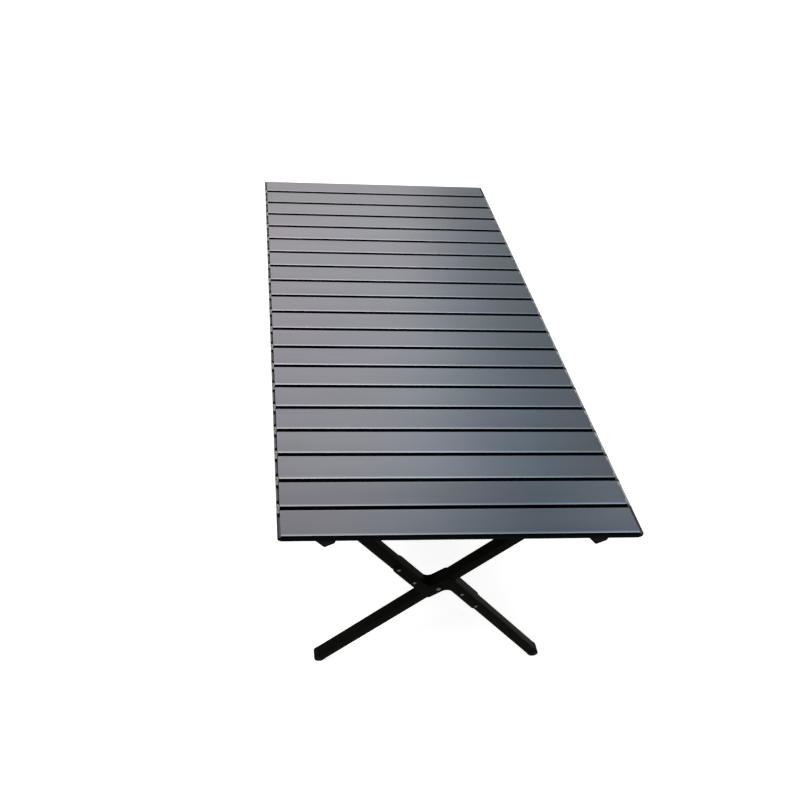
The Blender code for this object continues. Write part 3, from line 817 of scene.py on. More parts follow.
@dataclass(frozen=True)
class Slat:
    """One slat of the top: a channel, two moulded caps, hinge leaves and their plugs."""

    number: int
    count: int
    gap: float = 0.005
    thickness: float = 0.012
    wall: float = 0.0013
    lip: float = 0.007
    foot_radius: float = 0.0006
    edge_radius: float = 0.003
    end_bevel: float = 0.0006
    end_tilt: float = 0.1
    # The near edge's rounding takes painted shade past a tilt that falls from the near slat to the far
    # one, and the painted highlight above it up to level.
    shaded_tilt: Span = (math.radians(26.0), math.radians(8.0))
    level: float = 0.9999
    # Width of the painted highlight band beside the near edge; then the span of the normal's upward
    # share that takes the far edge's painted highlight.
    highlight_band: float = 0.0024
    far_glint: Span = (0.93, 0.985)
    trim_edge: float = 0.0003
    cap_width: float = 0.0056
    cap_drop: float = 0.0011
    cap_rise: float = 0.0005
    cap_inset: float = 0.0002
    cap_seat: float = 0.003
    cap_heel: float = 0.0062
    cap_side_tilt: float = 0.5
    cap_floor_tilt: float = -0.3
    rim_width: float = 0.0027
    right_rim_width: float = 0.0034
    rim_corner: float = 0.0009
    rim_sink: float = 0.0006
    ledge_drop: float = 0.0021
    hinge_depth: float = 0.004
    ear_radius: float = 0.0035
    ear_width: float = 0.0025
    pin_radius: float = 0.0015
    knuckle_root: float = 0.004
    knuckle_inset: float = 0.0001
    leaf_start: float = 0.0016
    leaf_length: float = 0.0135
    leaf_width: float = 0.0036
    leaf_corner: float = 0.0011
    leaf_edge: float = 0.0002
    leaf_drop: float = 0.0007
    leaf_sink: float = 0.0004
    plug_place: float = 0.0106
    plug_width: float = 0.0048
    plug_length: float = 0.0080
    plug_height: float = 0.0004
    plug_sink: float = 0.0008

    @property
    def width(self) -> float:
        """Width of the slat along Y."""
        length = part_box(f"slat_{self.count:02d}")[1].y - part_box("slat_01")[0].y
        return (length - (self.count - 1) * self.gap) / self.count

    @property
    def start(self) -> float:
        """Place of the slat's near edge."""
        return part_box("slat_01")[0].y + (self.number - 1) * (self.width + self.gap)

    @property
    def top(self) -> float:
        """Height of its upper face."""
        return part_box("slat_01")[1].z

    @property
    def tip(self) -> float:
        """Half the length of the slat along X."""
        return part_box("slat_01")[1].x

    @property
    def place(self) -> Matrix:
        """Move from the frame of its upper near edge to its place in the top."""
        return shift(0.0, self.start, self.top)

    @property
    def hinged(self) -> dict[End, bool]:
        """Whether the slat has a neighbour at each side."""
        return {End.NEAR: self.number > 1, End.FAR: self.number < self.count}

    @property
    def shaded(self) -> float:
        """Upward share of the normal below which the near edge takes painted shade, higher at the far
        end.
        """
        share = (self.number - 1) / (self.count - 1)
        return math.cos(self.shaded_tilt[0] + (self.shaded_tilt[1] - self.shaded_tilt[0]) * share)

    def profile(self) -> Outline:
        """Return the section of the channel, open below between its lips."""
        radius, foot, inner = self.edge_radius, self.foot_radius, self.wall
        far, deep = self.width, -self.thickness
        outline = [(self.lip, deep)]
        outline += arc((foot, deep + foot), foot, 3 * QUARTER, math.pi, 3)
        outline += arc((radius, -radius), radius, math.pi, QUARTER, 12)
        outline += [(radius + self.highlight_band, 0.0)]
        outline += arc((far - radius, -radius), radius, QUARTER, 0.0, 8)
        outline += arc((far - foot, deep + foot), foot, 0.0, -QUARTER, 3)
        outline += [(far - self.lip, deep), (far - self.lip, deep + inner)]
        outline += [(far - inner, deep + inner), (far - inner, -inner)]
        outline += [(inner, -inner), (inner, deep + inner), (self.lip, deep + inner)]
        return outline

    def on_rim(self, edge: bmesh.types.BMEdge) -> bool:
        """Tell whether an edge is part of the upper rim at an end of the channel.

        Args:
            edge: Edge of the channel.

        Returns:
            True if it is.
        """
        one, other = (vert.co for vert in edge.verts)
        at_end = abs(one.x - other.x) < SAME_PLACE and (other - one).length < self.width
        high = min(one.z, other.z) > -self.edge_radius and max(one.z, other.z) > -FACE_MARGIN
        return at_end and high

    def channel_finish(self, face: bmesh.types.BMFace) -> ChannelFinish:
        """Choose the finish of one face of the channel, among them painted highlights and painted
        shade.

        Args:
            face: The face.

        Returns:
            Its finish.
        """
        centre, normal = face.calc_center_median(), face.normal
        outer = centre.z > -self.edge_radius
        lit, kind = self.far_glint, ChannelFinish.FAR_EDGE
        if normal.y < 0:
            lit, kind = (self.shaded, self.level), ChannelFinish.NEAR_EDGE
        # The channel's rounded ends take the far edge's painted highlight.
        if outer and abs(normal.x) > self.end_tilt and normal.z > self.end_tilt:
            return ChannelFinish.FAR_EDGE
        if not outer or normal.z < lit[0]:
            return ChannelFinish.SIDES
        if normal.z < lit[1]:
            return kind
        if centre.y < self.edge_radius + self.highlight_band:
            return ChannelFinish.NEAR_BAND
        return ChannelFinish.TOP

    def channel(self) -> Solid:
        """Return the channel, with its upper ends softened and its faces' finishes set, painted
        highlights and shade among them.
        """
        reach = self.tip - self.cap_width
        shape = sweep(self.profile(), (-reach, reach), "X")
        round_edges(shape, [edge for edge in shape.edges if self.on_rim(edge)], self.end_bevel, 2)
        for face in shape.faces:
            face.material_index = self.channel_finish(face)
        return move(shape, self.place)

    def cap(self, side: Side) -> list[Solid]:
        """Build the moulded cap at one end.

        Args:
            side: The end of the slat.

        Returns:
            A ledge with pockets for the hinges, and a raised rim.
        """
        tip, sign = self.tip, side.value
        root = tip - self.cap_width - self.cap_seat
        split = tip - self.ear_width
        inner = split - CLEARANCE
        pocket = self.ear_radius + CLEARANCE - self.gap / 2
        near, far = self.cap_inset, self.width - self.cap_inset
        near_cut = pocket if self.hinged[End.NEAR] else near
        far_cut = self.width - pocket if self.hinged[End.FAR] else far
        plan = [(root, near), (tip, near)]
        if self.hinged[End.NEAR]:
            plan = [(root, near), (inner, near), (inner, near_cut), (tip, near_cut)]
        if self.hinged[End.FAR]:
            plan += [(tip, far), (split, far), (split, far_cut), (root, far_cut)]
        else:
            plan += [(tip, far), (root, far)]
        floor = self.cap_rise - self.thickness
        ledge = sweep([(sign * x, y) for x, y in plan], (floor, -self.ledge_drop), "Z")
        heel = [edge for edge in ledge.edges
                if all(vert.co.z < floor + FACE_MARGIN and abs(vert.co.x) > tip - FACE_MARGIN
                       for vert in edge.verts)]
        round_edges(ledge, heel, self.cap_heel, 6)
        soften(ledge, self.trim_edge, 2, CORNER_ANGLE)
        # Cap faces towards the gaps and underneath take the painted shade.
        for face in ledge.faces:
            if abs(face.normal.y) > self.cap_side_tilt or face.normal.z < self.cap_floor_tilt:
                face.material_index = CapFinish.SIDES
        width = self.right_rim_width if side is Side.RIGHT else self.rim_width
        low, high = mirrored(sign, tip, tip - width)
        rim = sweep(soft_box((low, near_cut), (high, far_cut), self.rim_corner),
                    (-self.ledge_drop - self.rim_sink, -self.cap_drop), "Z")
        soften(rim, self.trim_edge, 2, CORNER_ANGLE)
        # Middle slats: the left rim in painted light, the right rim in painted reflection; end slats:
        # both rims near-black.
        paint(rim, CapFinish.LEFT_RIM if side is Side.LEFT else CapFinish.RIGHT_RIM)
        return [move(shape, self.place) for shape in (ledge, rim)]

    def leaf(self, side: Side, end: End) -> list[Solid]:
        """Build one hinge leaf.

        Args:
            side: The end of the slat.
            end: The slat's edge that the hinge is on.

        Returns:
            Its knuckle in the gap and its plate on the cap.
        """
        split = self.tip - self.ear_width
        if end is End.NEAR:
            span = (split - CLEARANCE - self.ear_width, split - CLEARANCE - self.knuckle_inset)
            axis, inward, edge = -self.gap / 2, 1, 0.0
        else:
            span = (split + self.knuckle_inset, self.tip - self.knuckle_inset)
            axis, inward, edge = self.width + self.gap / 2, -1, self.width
        start = inward * QUARTER
        outline = arc((axis, -self.hinge_depth), self.ear_radius, start, start + math.pi, 14)
        root = edge + inward * self.knuckle_root
        outline += [(root, -self.hinge_depth - turn * self.ear_radius) for turn in (inward, -inward)]
        knuckle = sweep(outline, mirrored(side.value, *span), "X")
        soften(knuckle, self.trim_edge, 2, CORNER_ANGLE)
        # Right knuckles take the painted shade.
        paint(knuckle, 1 if side is Side.RIGHT else 0)
        centre, half = self.tip - self.cap_width / 2, self.leaf_width / 2
        low, high = mirrored(side.value, centre - half, centre + half)
        first, last = sorted(edge + inward * part for part in (self.leaf_start, self.leaf_length))
        plate = sweep(soft_box((low, first), (high, last), self.leaf_corner, 5),
                      (-self.ledge_drop - self.leaf_sink, -self.leaf_drop), "Z")
        soften(plate, self.leaf_edge, 2, CORNER_ANGLE)
        # Right plates take the right rim's finish, the painted reflection on middle slats.
        paint(plate, 2 if side is Side.RIGHT else 0)
        return [move(shape, self.place) for shape in (knuckle, plate)]

    def plug(self, side: Side, end: End) -> Solid:
        """Build the dark oval plug that holds one leaf.

        Args:
            side: The end of the slat.
            end: The slat's edge that the leaf is on.

        Returns:
            The plug.
        """
        y = self.plug_place if end is End.NEAR else self.width - self.plug_place
        half = self.plug_width / 2
        bend = self.plug_length / 2 - half
        outline = arc((0.0, bend), half, 0.0, math.pi, 12)
        outline += arc((0.0, -bend), half, math.pi, 2 * math.pi, 12)
        shape = sweep(outline, (-self.plug_sink, self.plug_height), "Z")
        soften(shape, self.trim_edge, 3, CORNER_ANGLE)
        # Right plugs take the right rim's finish, the painted reflection on middle slats.
        paint(shape, 1 if side is Side.RIGHT else 0)
        x = side.value * (self.tip - self.cap_width / 2)
        return move(shape, shift(x, self.start + y, self.top - self.leaf_drop))

    def stub(self, side: Side) -> Solid:
        """Build a hinge's stub pin, from this slat's near knuckle to the cap's outer face.

        Args:
            side: The end of the slat.

        Returns:
            The pin.
        """
        inner = self.tip - self.ear_width - self.ear_width / 2
        span = mirrored(side.value, inner, self.tip - self.knuckle_inset)
        centre = (-self.gap / 2, -self.hinge_depth)
        outline = arc(centre, self.pin_radius, 0.0, 2 * math.pi, 18)[:-1]
        return move(sweep(outline, span, "X"), self.place)

    def build(self, finishes: Finishes) -> None:
        """Add the slat's pieces."""
        name = f"slat_{self.number:02d}"
        carrier = Carrier(f"top_{name}", "slat_aluminium")
        # End slats: a greyer ledge and near-black rims. Middle slats: ledge in painted shade, left rim
        # in painted light, right rim, hinge plates and plugs in painted reflection.
        ledge, rim, right_rim = finishes.end_ledge, finishes.end_rim, finishes.end_rim
        if all(self.hinged.values()):
            ledge, rim, right_rim = finishes.cap_ledge, finishes.cap_rim, finishes.right_rim
        carrier.add(f"{name}_channel", [self.channel()],
                    [finishes.slat, finishes.slat_near_edge, finishes.slat_far_edge,
                     finishes.slat_side, finishes.slat_near_band], (name,))
        carrier.add(f"{name}_caps", [shape for side in Side for shape in self.cap(side)],
                    [ledge, rim, finishes.slat_side, right_rim])
        hinges = [(side, end) for side in Side for end in End if self.hinged[end]]
        leaves = [shape for hinge in hinges for shape in self.leaf(*hinge)]
        if self.hinged[End.NEAR]:
            leaves += [self.stub(side) for side in Side]
        carrier.add(f"{name}_hinge_leaves", leaves,
                    [finishes.leaf, finishes.leaf_shaded, right_rim])
        carrier.add(f"{name}_plugs", [self.plug(*hinge) for hinge in hinges],
                    [finishes.plug, right_rim])


@dataclass(frozen=True)
class EndHook:
    """Moulded V hook under an end slat."""

    node: str
    body: str
    end: End
    drop: float = 0.0168
    heel: float = 0.0135
    brow: float = 0.0038
    toe: float = 0.017
    shoulder: float = 0.0155
    shoulder_drop: float = 0.0075
    tip_radius: float = 0.0036
    thickness: float = 0.005
    edge: float = 0.0006
    pad_depth: float = 0.014
    pad_thickness: float = 0.002
    pad_edge: float = 0.0005
    rib_half: float = 0.0012
    rib_root: float = 0.0005
    rib_reach: float = 0.0045
    rib_edge: float = 0.0004

    def build(self, finishes: Finishes) -> None:
        """Add the hook."""
        low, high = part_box(self.node)
        slope = math.atan2(self.drop, self.heel + self.brow)
        rise = math.atan2(self.drop - self.shoulder_drop, self.shoulder)
        outline = [(self.toe, 0.0), (-self.heel - self.brow, 0.0)]
        outline += arc((0.0, self.tip_radius - self.drop), self.tip_radius,
                       -QUARTER - slope, -QUARTER + rise, 8)
        outline += [(self.shoulder, -self.shoulder_drop)]
        plate = sweep(outline, (0.0, self.thickness), "Y")
        soften(plate, self.edge, 3)
        pad = sweep(rectangle((-self.heel, 0.0), (self.toe, self.pad_depth)),
                    (-self.pad_thickness, 0.0), "Z")
        soften(pad, self.pad_edge, 2)
        rib = sweep(rectangle((-self.rib_half, -self.pad_thickness), (self.rib_half, -self.drop / 2)),
                    (self.thickness - self.rib_root, self.thickness + self.rib_reach), "Y")
        soften(rib, self.rib_edge, 2)
        place = facing(self.end, low.x + self.heel, low.y, high.z)
        if self.end is End.FAR:
            place = facing(self.end, high.x - self.heel, high.y, high.z)
        Carrier(self.body, "hook_plastic").add(
            f"{self.node}_moulding", [move(shape, place) for shape in (plate, pad, rib)],
            [finishes.hook], (self.node,))


# Legs

@dataclass(frozen=True)
class LegPair:
    """Crossed legs at one end: a long leg, and a split leg joined by offset hub plates."""

    end: End
    tube: float = 0.020
    corner: float = 0.0022
    wall: float = 0.0012
    open_depth: float = 0.012
    split_offset: float = 0.0228
    foot_flat: float = 0.0005
    foot_edge: float = 0.0012
    foot_collar: float = 0.008
    collar_gap: float = 0.0006
    neck_inset: float = 0.0016
    neck_corner: float = 0.002
    neck_sink: float = 0.002
    neck_reach: float = 0.003
    plate_thickness: float = 0.002
    plate_edge: float = 0.0005
    plate_web: float = 0.026
    plate_fillet: float = 0.013
    plate_corner: float = 0.008
    rivet_outer: float = 0.095
    rivet_inner: float = 0.045
    rivet_head_radius: float = 0.0042
    rivet_head_height: float = 0.0023
    stop_place: float = 0.0247
    stop_head_radius: float = 0.0024
    stop_head_height: float = 0.0008
    stop_radius: float = 0.0011
    pivot_radius: float = 0.003
    pivot_head_radius: float = 0.0055
    pivot_head_height: float = 0.0028

    @property
    def key(self) -> str:
        """Name of the end, as in the CAD nodes."""
        return self.end.key

    @property
    def pivot(self) -> Vector:
        """Crossing point of the legs."""
        return middle(f"hub_pivot_{self.key}")

    @property
    def right_top(self) -> Vector:
        """Pin at the long leg's top, in the plane of the legs."""
        pin = middle(f"leg_pin_{self.key}_right")
        return Vector((pin.x, self.pivot.y, pin.z))

    @property
    def angle(self) -> float:
        """Slope of the legs against the ground."""
        reach = self.right_top - self.pivot
        return math.atan2(reach.z, reach.x)

    @property
    def foot_height(self) -> float:
        """Height of the centre of a foot's round nose."""
        return self.tube / 2 - self.foot_flat

    @property
    def long_up(self) -> float:
        """Length of the long leg from the crossing to its top pin."""
        return (self.right_top - self.pivot).length

    @property
    def long_down(self) -> float:
        """Length of the long leg from the crossing to its foot."""
        return (self.pivot.z - self.foot_height) / math.sin(self.angle)

    @property
    def split_up(self) -> float:
        """Length of the split leg's upper half, from abreast of the crossing to its top pin."""
        rise = self.right_top.z - self.pivot.z + self.split_offset * math.cos(self.angle)
        return rise / math.sin(self.angle)

    @property
    def split_down(self) -> float:
        """Length of the lower half, from abreast of the crossing to its foot."""
        fall = self.pivot.z - self.foot_height + self.split_offset * math.cos(self.angle)
        return fall / math.sin(self.angle)

    @property
    def stop(self) -> float:
        """Place where the halves of the split leg end beside the long leg."""
        crossing = math.pi - 2 * self.angle
        half = self.tube / 2
        reach = half - (self.split_offset - half) * math.cos(crossing)
        return reach / math.sin(crossing) + CLEARANCE

    @property
    def surface(self) -> float:
        """Distance of a hub plate's outer face from the middle plane of the legs."""
        return self.tube / 2 + CLEARANCE + self.plate_thickness

    def up_right(self) -> Matrix:
        """Return the frame of the long leg: X up along it, Z across it."""
        return Matrix.Translation(self.pivot) @ Matrix.Rotation(-self.angle, 4, "Y")

    def up_left(self) -> Matrix:
        """Return the frame of the split leg and its plates."""
        return Matrix.Translation(self.pivot) @ Matrix.Rotation(self.angle - math.pi, 4, "Y")

    def bar(self, start: float, end: float, round_end: bool, rubbed: bool = False) -> Solid:
        """Build a square tube with softly rounded corners, along X in its own frame.

        Args:
            start: Place of its flat end.
            end: Place of its other end, or of that end's pin if it is round.
            round_end: True to round the other end about its pin.
            rubbed: True to give the face at -Z the second finish, a painted sheen.

        Returns:
            The tube, open at its flat ends.
        """
        half = self.tube / 2
        outline = [(start, half), (start, -half)]
        if round_end:
            outline += arc((end, 0.0), half, -QUARTER, QUARTER, 20)
        else:
            outline += [(end, -half), (end, half)]
        shape = sweep(outline, (-half, half), "Y")
        flat_ends = [start] if round_end else [start, end]

        def lengthwise(edge: bmesh.types.BMEdge) -> bool:
            """Tell whether an edge lies in a Y face, and not in a flat end."""
            one, other = (vert.co for vert in edge.verts)
            in_face = abs(abs(one.y) - half) < SAME_PLACE and abs(one.y - other.y) < SAME_PLACE
            return in_face and not any(
                abs(one.x - place) < SAME_PLACE and abs(other.x - place) < SAME_PLACE
                for place in flat_ends)

        round_edges(shape, [edge for edge in shape.edges if lengthwise(edge)], self.corner, 4)
        for place in flat_ends:
            self.open_end(shape, place)
        # The face at -Z takes a painted sheen.
        if rubbed:
            for face in shape.faces:
                face.material_index = 1 if face.normal.z < -0.95 else 0
        return shape

    def open_end(self, shape: Solid, place: float) -> None:
        """Hollow a tube's flat end so that its wall shows.

        Args:
            shape: The tube, changed in place.
            place: Place of the flat end along X.
        """
        caps = [face for face in shape.faces
                if abs(face.normal.x) > 0.99 and abs(face.calc_center_median().x - place) < SAME_PLACE]
        bmesh.ops.inset_region(shape, faces=caps, thickness=self.wall)
        inward = -caps[0].normal * self.open_depth
        bmesh.ops.translate(shape, vec=inward, verts=list({v for face in caps for v in face.verts}))

    def foot(self) -> list[Solid]:
        """Return one foot in its leg's frame: a round nose, flat on the ground, and a neck."""
        half = self.tube / 2
        sine, cosine = math.sin(self.angle), math.cos(self.angle)
        kept: Outline = []
        for x, z in arc((0.0, 0.0), half, QUARTER, 3 * QUARTER, 26):
            lift = max(0.0, -self.foot_height - (x * sine + z * cosine))
            kept.append((x + lift * sine, z + lift * cosine))
        collar = self.foot_collar - self.collar_gap
        body = sweep(kept + [(collar, -half), (collar, half)], (-half, half), "Y")
        soften(body, self.foot_edge, 3, CORNER_ANGLE)
        inner = half - self.neck_inset
        neck = sweep(soft_box((-inner, -inner), (inner, inner), self.neck_corner),
                     (self.foot_collar - self.neck_sink, self.foot_collar + self.neck_reach), "X")
        return [body, neck]

    def plate_outline(self) -> Outline:
        """Return the hub plate: two offset arms joined by a web across the pivot."""
        half = self.tube / 2
        web, corner, fillet = self.plate_web / 2, self.plate_corner, self.plate_fillet
        inner, outer = self.split_offset - half, self.split_offset + half
        one = arc((self.rivet_outer, self.split_offset), half, -QUARTER, QUARTER, 20)
        one += arc((corner - web, outer - corner), corner, QUARTER, 2 * QUARTER, 9)
        one += arc((-web - fillet, fillet - inner), fillet, 0.0, -QUARTER, 9)
        return one + [(-along, -across) for along, across in one]

    def plate(self, face: Face) -> Solid:
        """Return one hub plate in the split leg's frame."""
        span = mirrored(face.value, self.tube / 2 + CLEARANCE, self.surface)
        shape = sweep(self.plate_outline(), span, "Y")
        soften(shape, self.plate_edge, 3, CORNER_ANGLE)
        return shape

    def head(self, face: Face, place: Point, radius: float, height: float) -> Solid:
        """Build a domed head on one plate, its rim in black painted shade.

        Args:
            face: The plate's face of the legs.
            place: Its place along and across the split leg.
            radius: Its radius.
            height: Its height.

        Returns:
            The head.
        """
        sign = face.value
        base = sign * (self.surface - self.plate_thickness / 2)
        profile = [(base, 0.0), (base, radius)] + dome(radius, height, sign * self.surface, sign)
        shape = lathe(profile)
        shade_rim(shape, radius)
        return move(shape, shift(place[0], 0.0, place[1]))

    def rivets(self, face: Face) -> list[Solid]:
        """Return the four domed rivets of one plate, and on the front one the stop pin's dark head."""
        heads = [self.head(face, (sign * along, sign * self.split_offset),
                           self.rivet_head_radius, self.rivet_head_height)
                 for sign in (-1, 1) for along in (self.rivet_inner, self.rivet_outer)]
        if face is Face.FRONT:
            place = (self.stop_place, self.tube / 2 + CLEARANCE + self.stop_radius)
            heads.append(self.head(face, place, self.stop_head_radius, self.stop_head_height))
            paint(heads[-1], 1)
        return heads

    def build(self, finishes: Finishes) -> None:
        """Add the legs, feet, plates, rivets and pivot."""
        long, split = f"{self.key}_long_leg", f"{self.key}_split_leg"
        up_right, up_left = self.up_right(), self.up_left()
        cut = self.foot_collar + CLEARANCE
        offset = shift(0.0, 0.0, self.split_offset)
        coat, rivet = [finishes.tube], [finishes.rivet, finishes.rivet_rim]
        for body, label, bar, place, coats in (
                (long, "long", self.bar(cut - self.long_down, self.long_up, True), up_right, coat),
                (split, "upper", self.bar(self.stop, self.split_up, True), up_left @ offset, coat),
                # The lower half's upper face takes the painted sheen.
                (split, "lower", self.bar(cut - self.split_down, -self.stop, False, True),
                 up_left @ offset.inverted(), coat + [finishes.tube_rubbed])):
            node = f"leg_{label}_{self.key}"
            Carrier(body, "leg_coating").add(f"{node}_tube", [move(bar, place)], coats, (node,))
        left = up_right @ shift(-self.long_down, 0.0, 0.0)
        right = up_left @ shift(-self.split_down, 0.0, -self.split_offset)
        for body, side, place in ((long, Side.LEFT, left),
                                  (split, Side.RIGHT, right @ Matrix.Rotation(math.pi, 4, "X"))):
            node = f"foot_{self.key}_{side.key}"
            Carrier(body, "foot_plastic").add(
                f"{node}_moulding", [move(shape, place) for shape in self.foot()],
                [finishes.plastic], (node,))
        for face in Face:
            node = f"hub_plate_{self.key}_{face.key}"
            Carrier(split, "hub_coating").add(
                f"{node}_pressing", [move(self.plate(face), up_left)], [finishes.plate], (node,))
            Carrier(split, "pin_steel").add(
                f"hub_rivets_{self.key}_{face.key}",
                [move(head, up_left) for head in self.rivets(face)], rivet)
        pivot = headed_pin(self.pivot_radius, self.pivot_head_radius, self.pivot_head_height,
                           -self.surface, self.surface, True)
        shade_rim(pivot, self.pivot_head_radius)
        node = f"hub_pivot_{self.key}"
        Carrier(split, "pin_steel").add(
            f"{node}_rivet", [move(pivot, Matrix.Translation(self.pivot))], rivet, (node,))


# Side frames

@dataclass(frozen=True)
class SideFrame:
    """One side of the frame: two corner brackets and a rail in two halves on a moulded joint."""

    side: Side
    tube: float = 0.020
    corner: float = 0.0022
    fork: float = 0.012
    wall: float = 0.0012
    cheek_root: float = 0.004
    cheek_edge: float = 0.0004
    bracket_width: float = 0.022
    bracket_lip: float = 0.0029
    bracket_cheek: float = 0.003
    bracket_web: float = 0.010
    bracket_corner: float = 0.0015
    moulded_edge: float = 0.0007
    tongue_radius: float = 0.0075
    tongue_width: float = 0.0170
    leg_pin_radius: float = 0.003
    leg_head_radius: float = 0.0045
    leg_head_height: float = 0.0024
    rail_pin_radius: float = 0.0025
    rail_head_radius: float = 0.0045
    rail_head_height: float = 0.0015
    joint_body: float = 0.012
    joint_edge: float = 0.0012

    @property
    def key(self) -> str:
        """Name of the side, as in the CAD nodes."""
        return self.side.key

    @property
    def body(self) -> str:
        """Body that the side frame is."""
        return f"{self.key}_side"

    @property
    def tongue_span(self) -> Span:
        """Low and high face of a tongue along X, from its middle."""
        return (-self.tongue_width / 2, self.tongue_width / 2)

    def rail(self, end: End) -> list[Solid]:
        """Build half a rail along Y.

        Args:
            end: End of the table that the half is at.

        Returns:
            A square tube, and two cheeks at each of its ends.
        """
        low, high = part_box(f"rail_{self.key}_{end.key}")
        centre = (low + high) / 2
        half = self.tube / 2
        section = soft_box((centre.x - half, centre.z - half), (centre.x + half, centre.z + half),
                           self.corner, 5)
        shapes = [sweep(section, (low.y + half + self.fork, high.y - half - self.fork), "Y")]
        for sign in (-1, 1):
            inner, outer = sorted(centre.x + sign * part for part in (half, half - self.wall))
            for place, turn in ((low.y + half, 1), (high.y - half, -1)):
                outline = arc((place, centre.z), half, QUARTER, 3 * QUARTER, 18)
                if turn < 0:
                    outline = [(2 * place - y, z) for y, z in outline][::-1]
                root = place + turn * self.fork + turn * self.cheek_root
                outline += [(root, centre.z - half), (root, centre.z + half)]
                cheek = sweep(outline, (inner, outer), "X")
                soften(cheek, self.cheek_edge, 2, CORNER_ANGLE)
                shapes.append(cheek)
        return shapes

    def bracket(self, end: End) -> list[Solid]:
        """Build a corner bracket.

        Args:
            end: End of the table that it is at.

        Returns:
            Cheek, web and lip about the leg's top, and a tongue for the rail.
        """
        low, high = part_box(f"bracket_{end.key}_{self.key}")
        rail_axis = middle(f"rail_{self.key}_{end.key}")
        plane = middle(f"hub_pivot_{end.key}").y
        half = self.bracket_width / 2
        axis = low.z + half
        top = high.z - axis
        inner = self.tube / 2 + CLEARANCE
        outline = arc((0.0, 0.0), half, math.pi, 2 * math.pi, 22) + [(half, top), (-half, top)]
        cheek = sweep(outline, (-inner - self.bracket_cheek, -inner), "Y")
        web = sweep(outline, (inner, inner + self.bracket_web), "Y")
        plan = soft_box((-half, -inner - self.bracket_cheek), (half, inner + self.bracket_web),
                        self.bracket_corner)
        lip = sweep(plan, (top - self.bracket_lip, top), "Z")
        rail_z = rail_axis.z - axis
        rail_y = abs(middle(f"rail_pin_{end.key}_{self.key}").y - plane)
        root = inner + self.bracket_web / 2
        reach = arc((rail_y, rail_z), self.tongue_radius, -QUARTER, QUARTER, 18)
        reach += [(root, rail_z + self.tongue_radius), (root, rail_z - self.tongue_radius)]
        shapes = [cheek, web, lip, sweep(reach, self.tongue_span, "X")]
        place = facing(end, (low.x + high.x) / 2, plane, axis)
        for shape in shapes:
            soften(shape, self.moulded_edge, 3, CORNER_ANGLE)
            move(shape, place)
        return shapes

    def leg_pin(self, end: End) -> Solid:
        """Build the headed pin through a leg's top.

        Args:
            end: End of the table that the leg is at.

        Returns:
            The pin.
        """
        low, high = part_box(f"leg_pin_{end.key}_{self.key}")
        plane = middle(f"hub_pivot_{end.key}").y
        face = -self.tube / 2 - CLEARANCE - self.bracket_cheek
        tail = (high.y - low.y) - self.leg_head_height + face
        pin = headed_pin(self.leg_pin_radius, self.leg_head_radius, self.leg_head_height, face, tail)
        return move(pin, facing(end, (low.x + high.x) / 2, plane, (low.z + high.z) / 2))

    def rail_pin(self, place: Vector) -> Solid:
        """Build a pin along X whose head is on the frame's outer side.

        Args:
            place: Middle of the pin.

        Returns:
            The pin.
        """
        half = self.tube / 2
        pin = headed_pin(self.rail_pin_radius, self.rail_head_radius, self.rail_head_height,
                         -half, half)
        turn = Matrix.Rotation(self.side.value * QUARTER, 4, "Z")
        return move(pin, Matrix.Translation(place) @ turn)

    def joint(self) -> list[Solid]:
        """Return the moulded joint between the rail's halves: a block and a tongue through it."""
        low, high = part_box(f"rail_joint_{self.key}")
        rail_axis = middle(f"rail_{self.key}_near")
        centre = Vector((rail_axis.x, (low.y + high.y) / 2, rail_axis.z))
        half, depth = self.tube / 2, self.joint_body / 2
        body = sweep(rectangle((-half, -depth), (half, depth)), (-half, half), "Z")
        soften(body, self.joint_edge, 3)
        reach = high.y - centre.y - self.tongue_radius
        outline = arc((reach, 0.0), self.tongue_radius, -QUARTER, QUARTER, 18)
        outline += arc((-reach, 0.0), self.tongue_radius, QUARTER, 3 * QUARTER, 18)
        tongue = sweep(outline, self.tongue_span, "X")
        soften(tongue, self.moulded_edge, 3, CORNER_ANGLE)
        return [move(shape, Matrix.Translation(centre)) for shape in (body, tongue)]

    def build(self, finishes: Finishes) -> None:
        """Add the side frame's pieces."""
        rail_axis = middle(f"rail_{self.key}_near")
        low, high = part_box(f"rail_joint_{self.key}")
        reach = (high.y - low.y) / 2 - self.tongue_radius
        for end in End:
            corner, rail = f"{end.key}_{self.key}", f"rail_{self.key}_{end.key}"
            pin = Vector((rail_axis.x, middle(f"rail_pin_{corner}").y, rail_axis.z))
            for slot, node, kind, shapes, finish in (
                    ("rail_coating", rail, "tube", self.rail(end), finishes.tube),
                    ("bracket_plastic", f"bracket_{corner}", "moulding", self.bracket(end),
                     finishes.plastic),
                    ("pin_steel", f"leg_pin_{corner}", "rivet", [self.leg_pin(end)], finishes.rivet),
                    ("pin_steel", f"rail_pin_{corner}", "rivet", [self.rail_pin(pin)],
                     finishes.rivet)):
                Carrier(self.body, slot).add(f"{node}_{kind}", shapes, [finish], (node,))
        joint = f"rail_joint_{self.key}"
        Carrier(self.body, "joint_plastic").add(
            f"{joint}_moulding", self.joint(), [finishes.plastic], (joint,))
        pins = [Vector((rail_axis.x, end.value * reach, rail_axis.z)) for end in End]
        Carrier(self.body, "pin_steel").add(
            f"{joint}_rivets", [self.rail_pin(place) for place in pins], [finishes.rivet])


# Studio

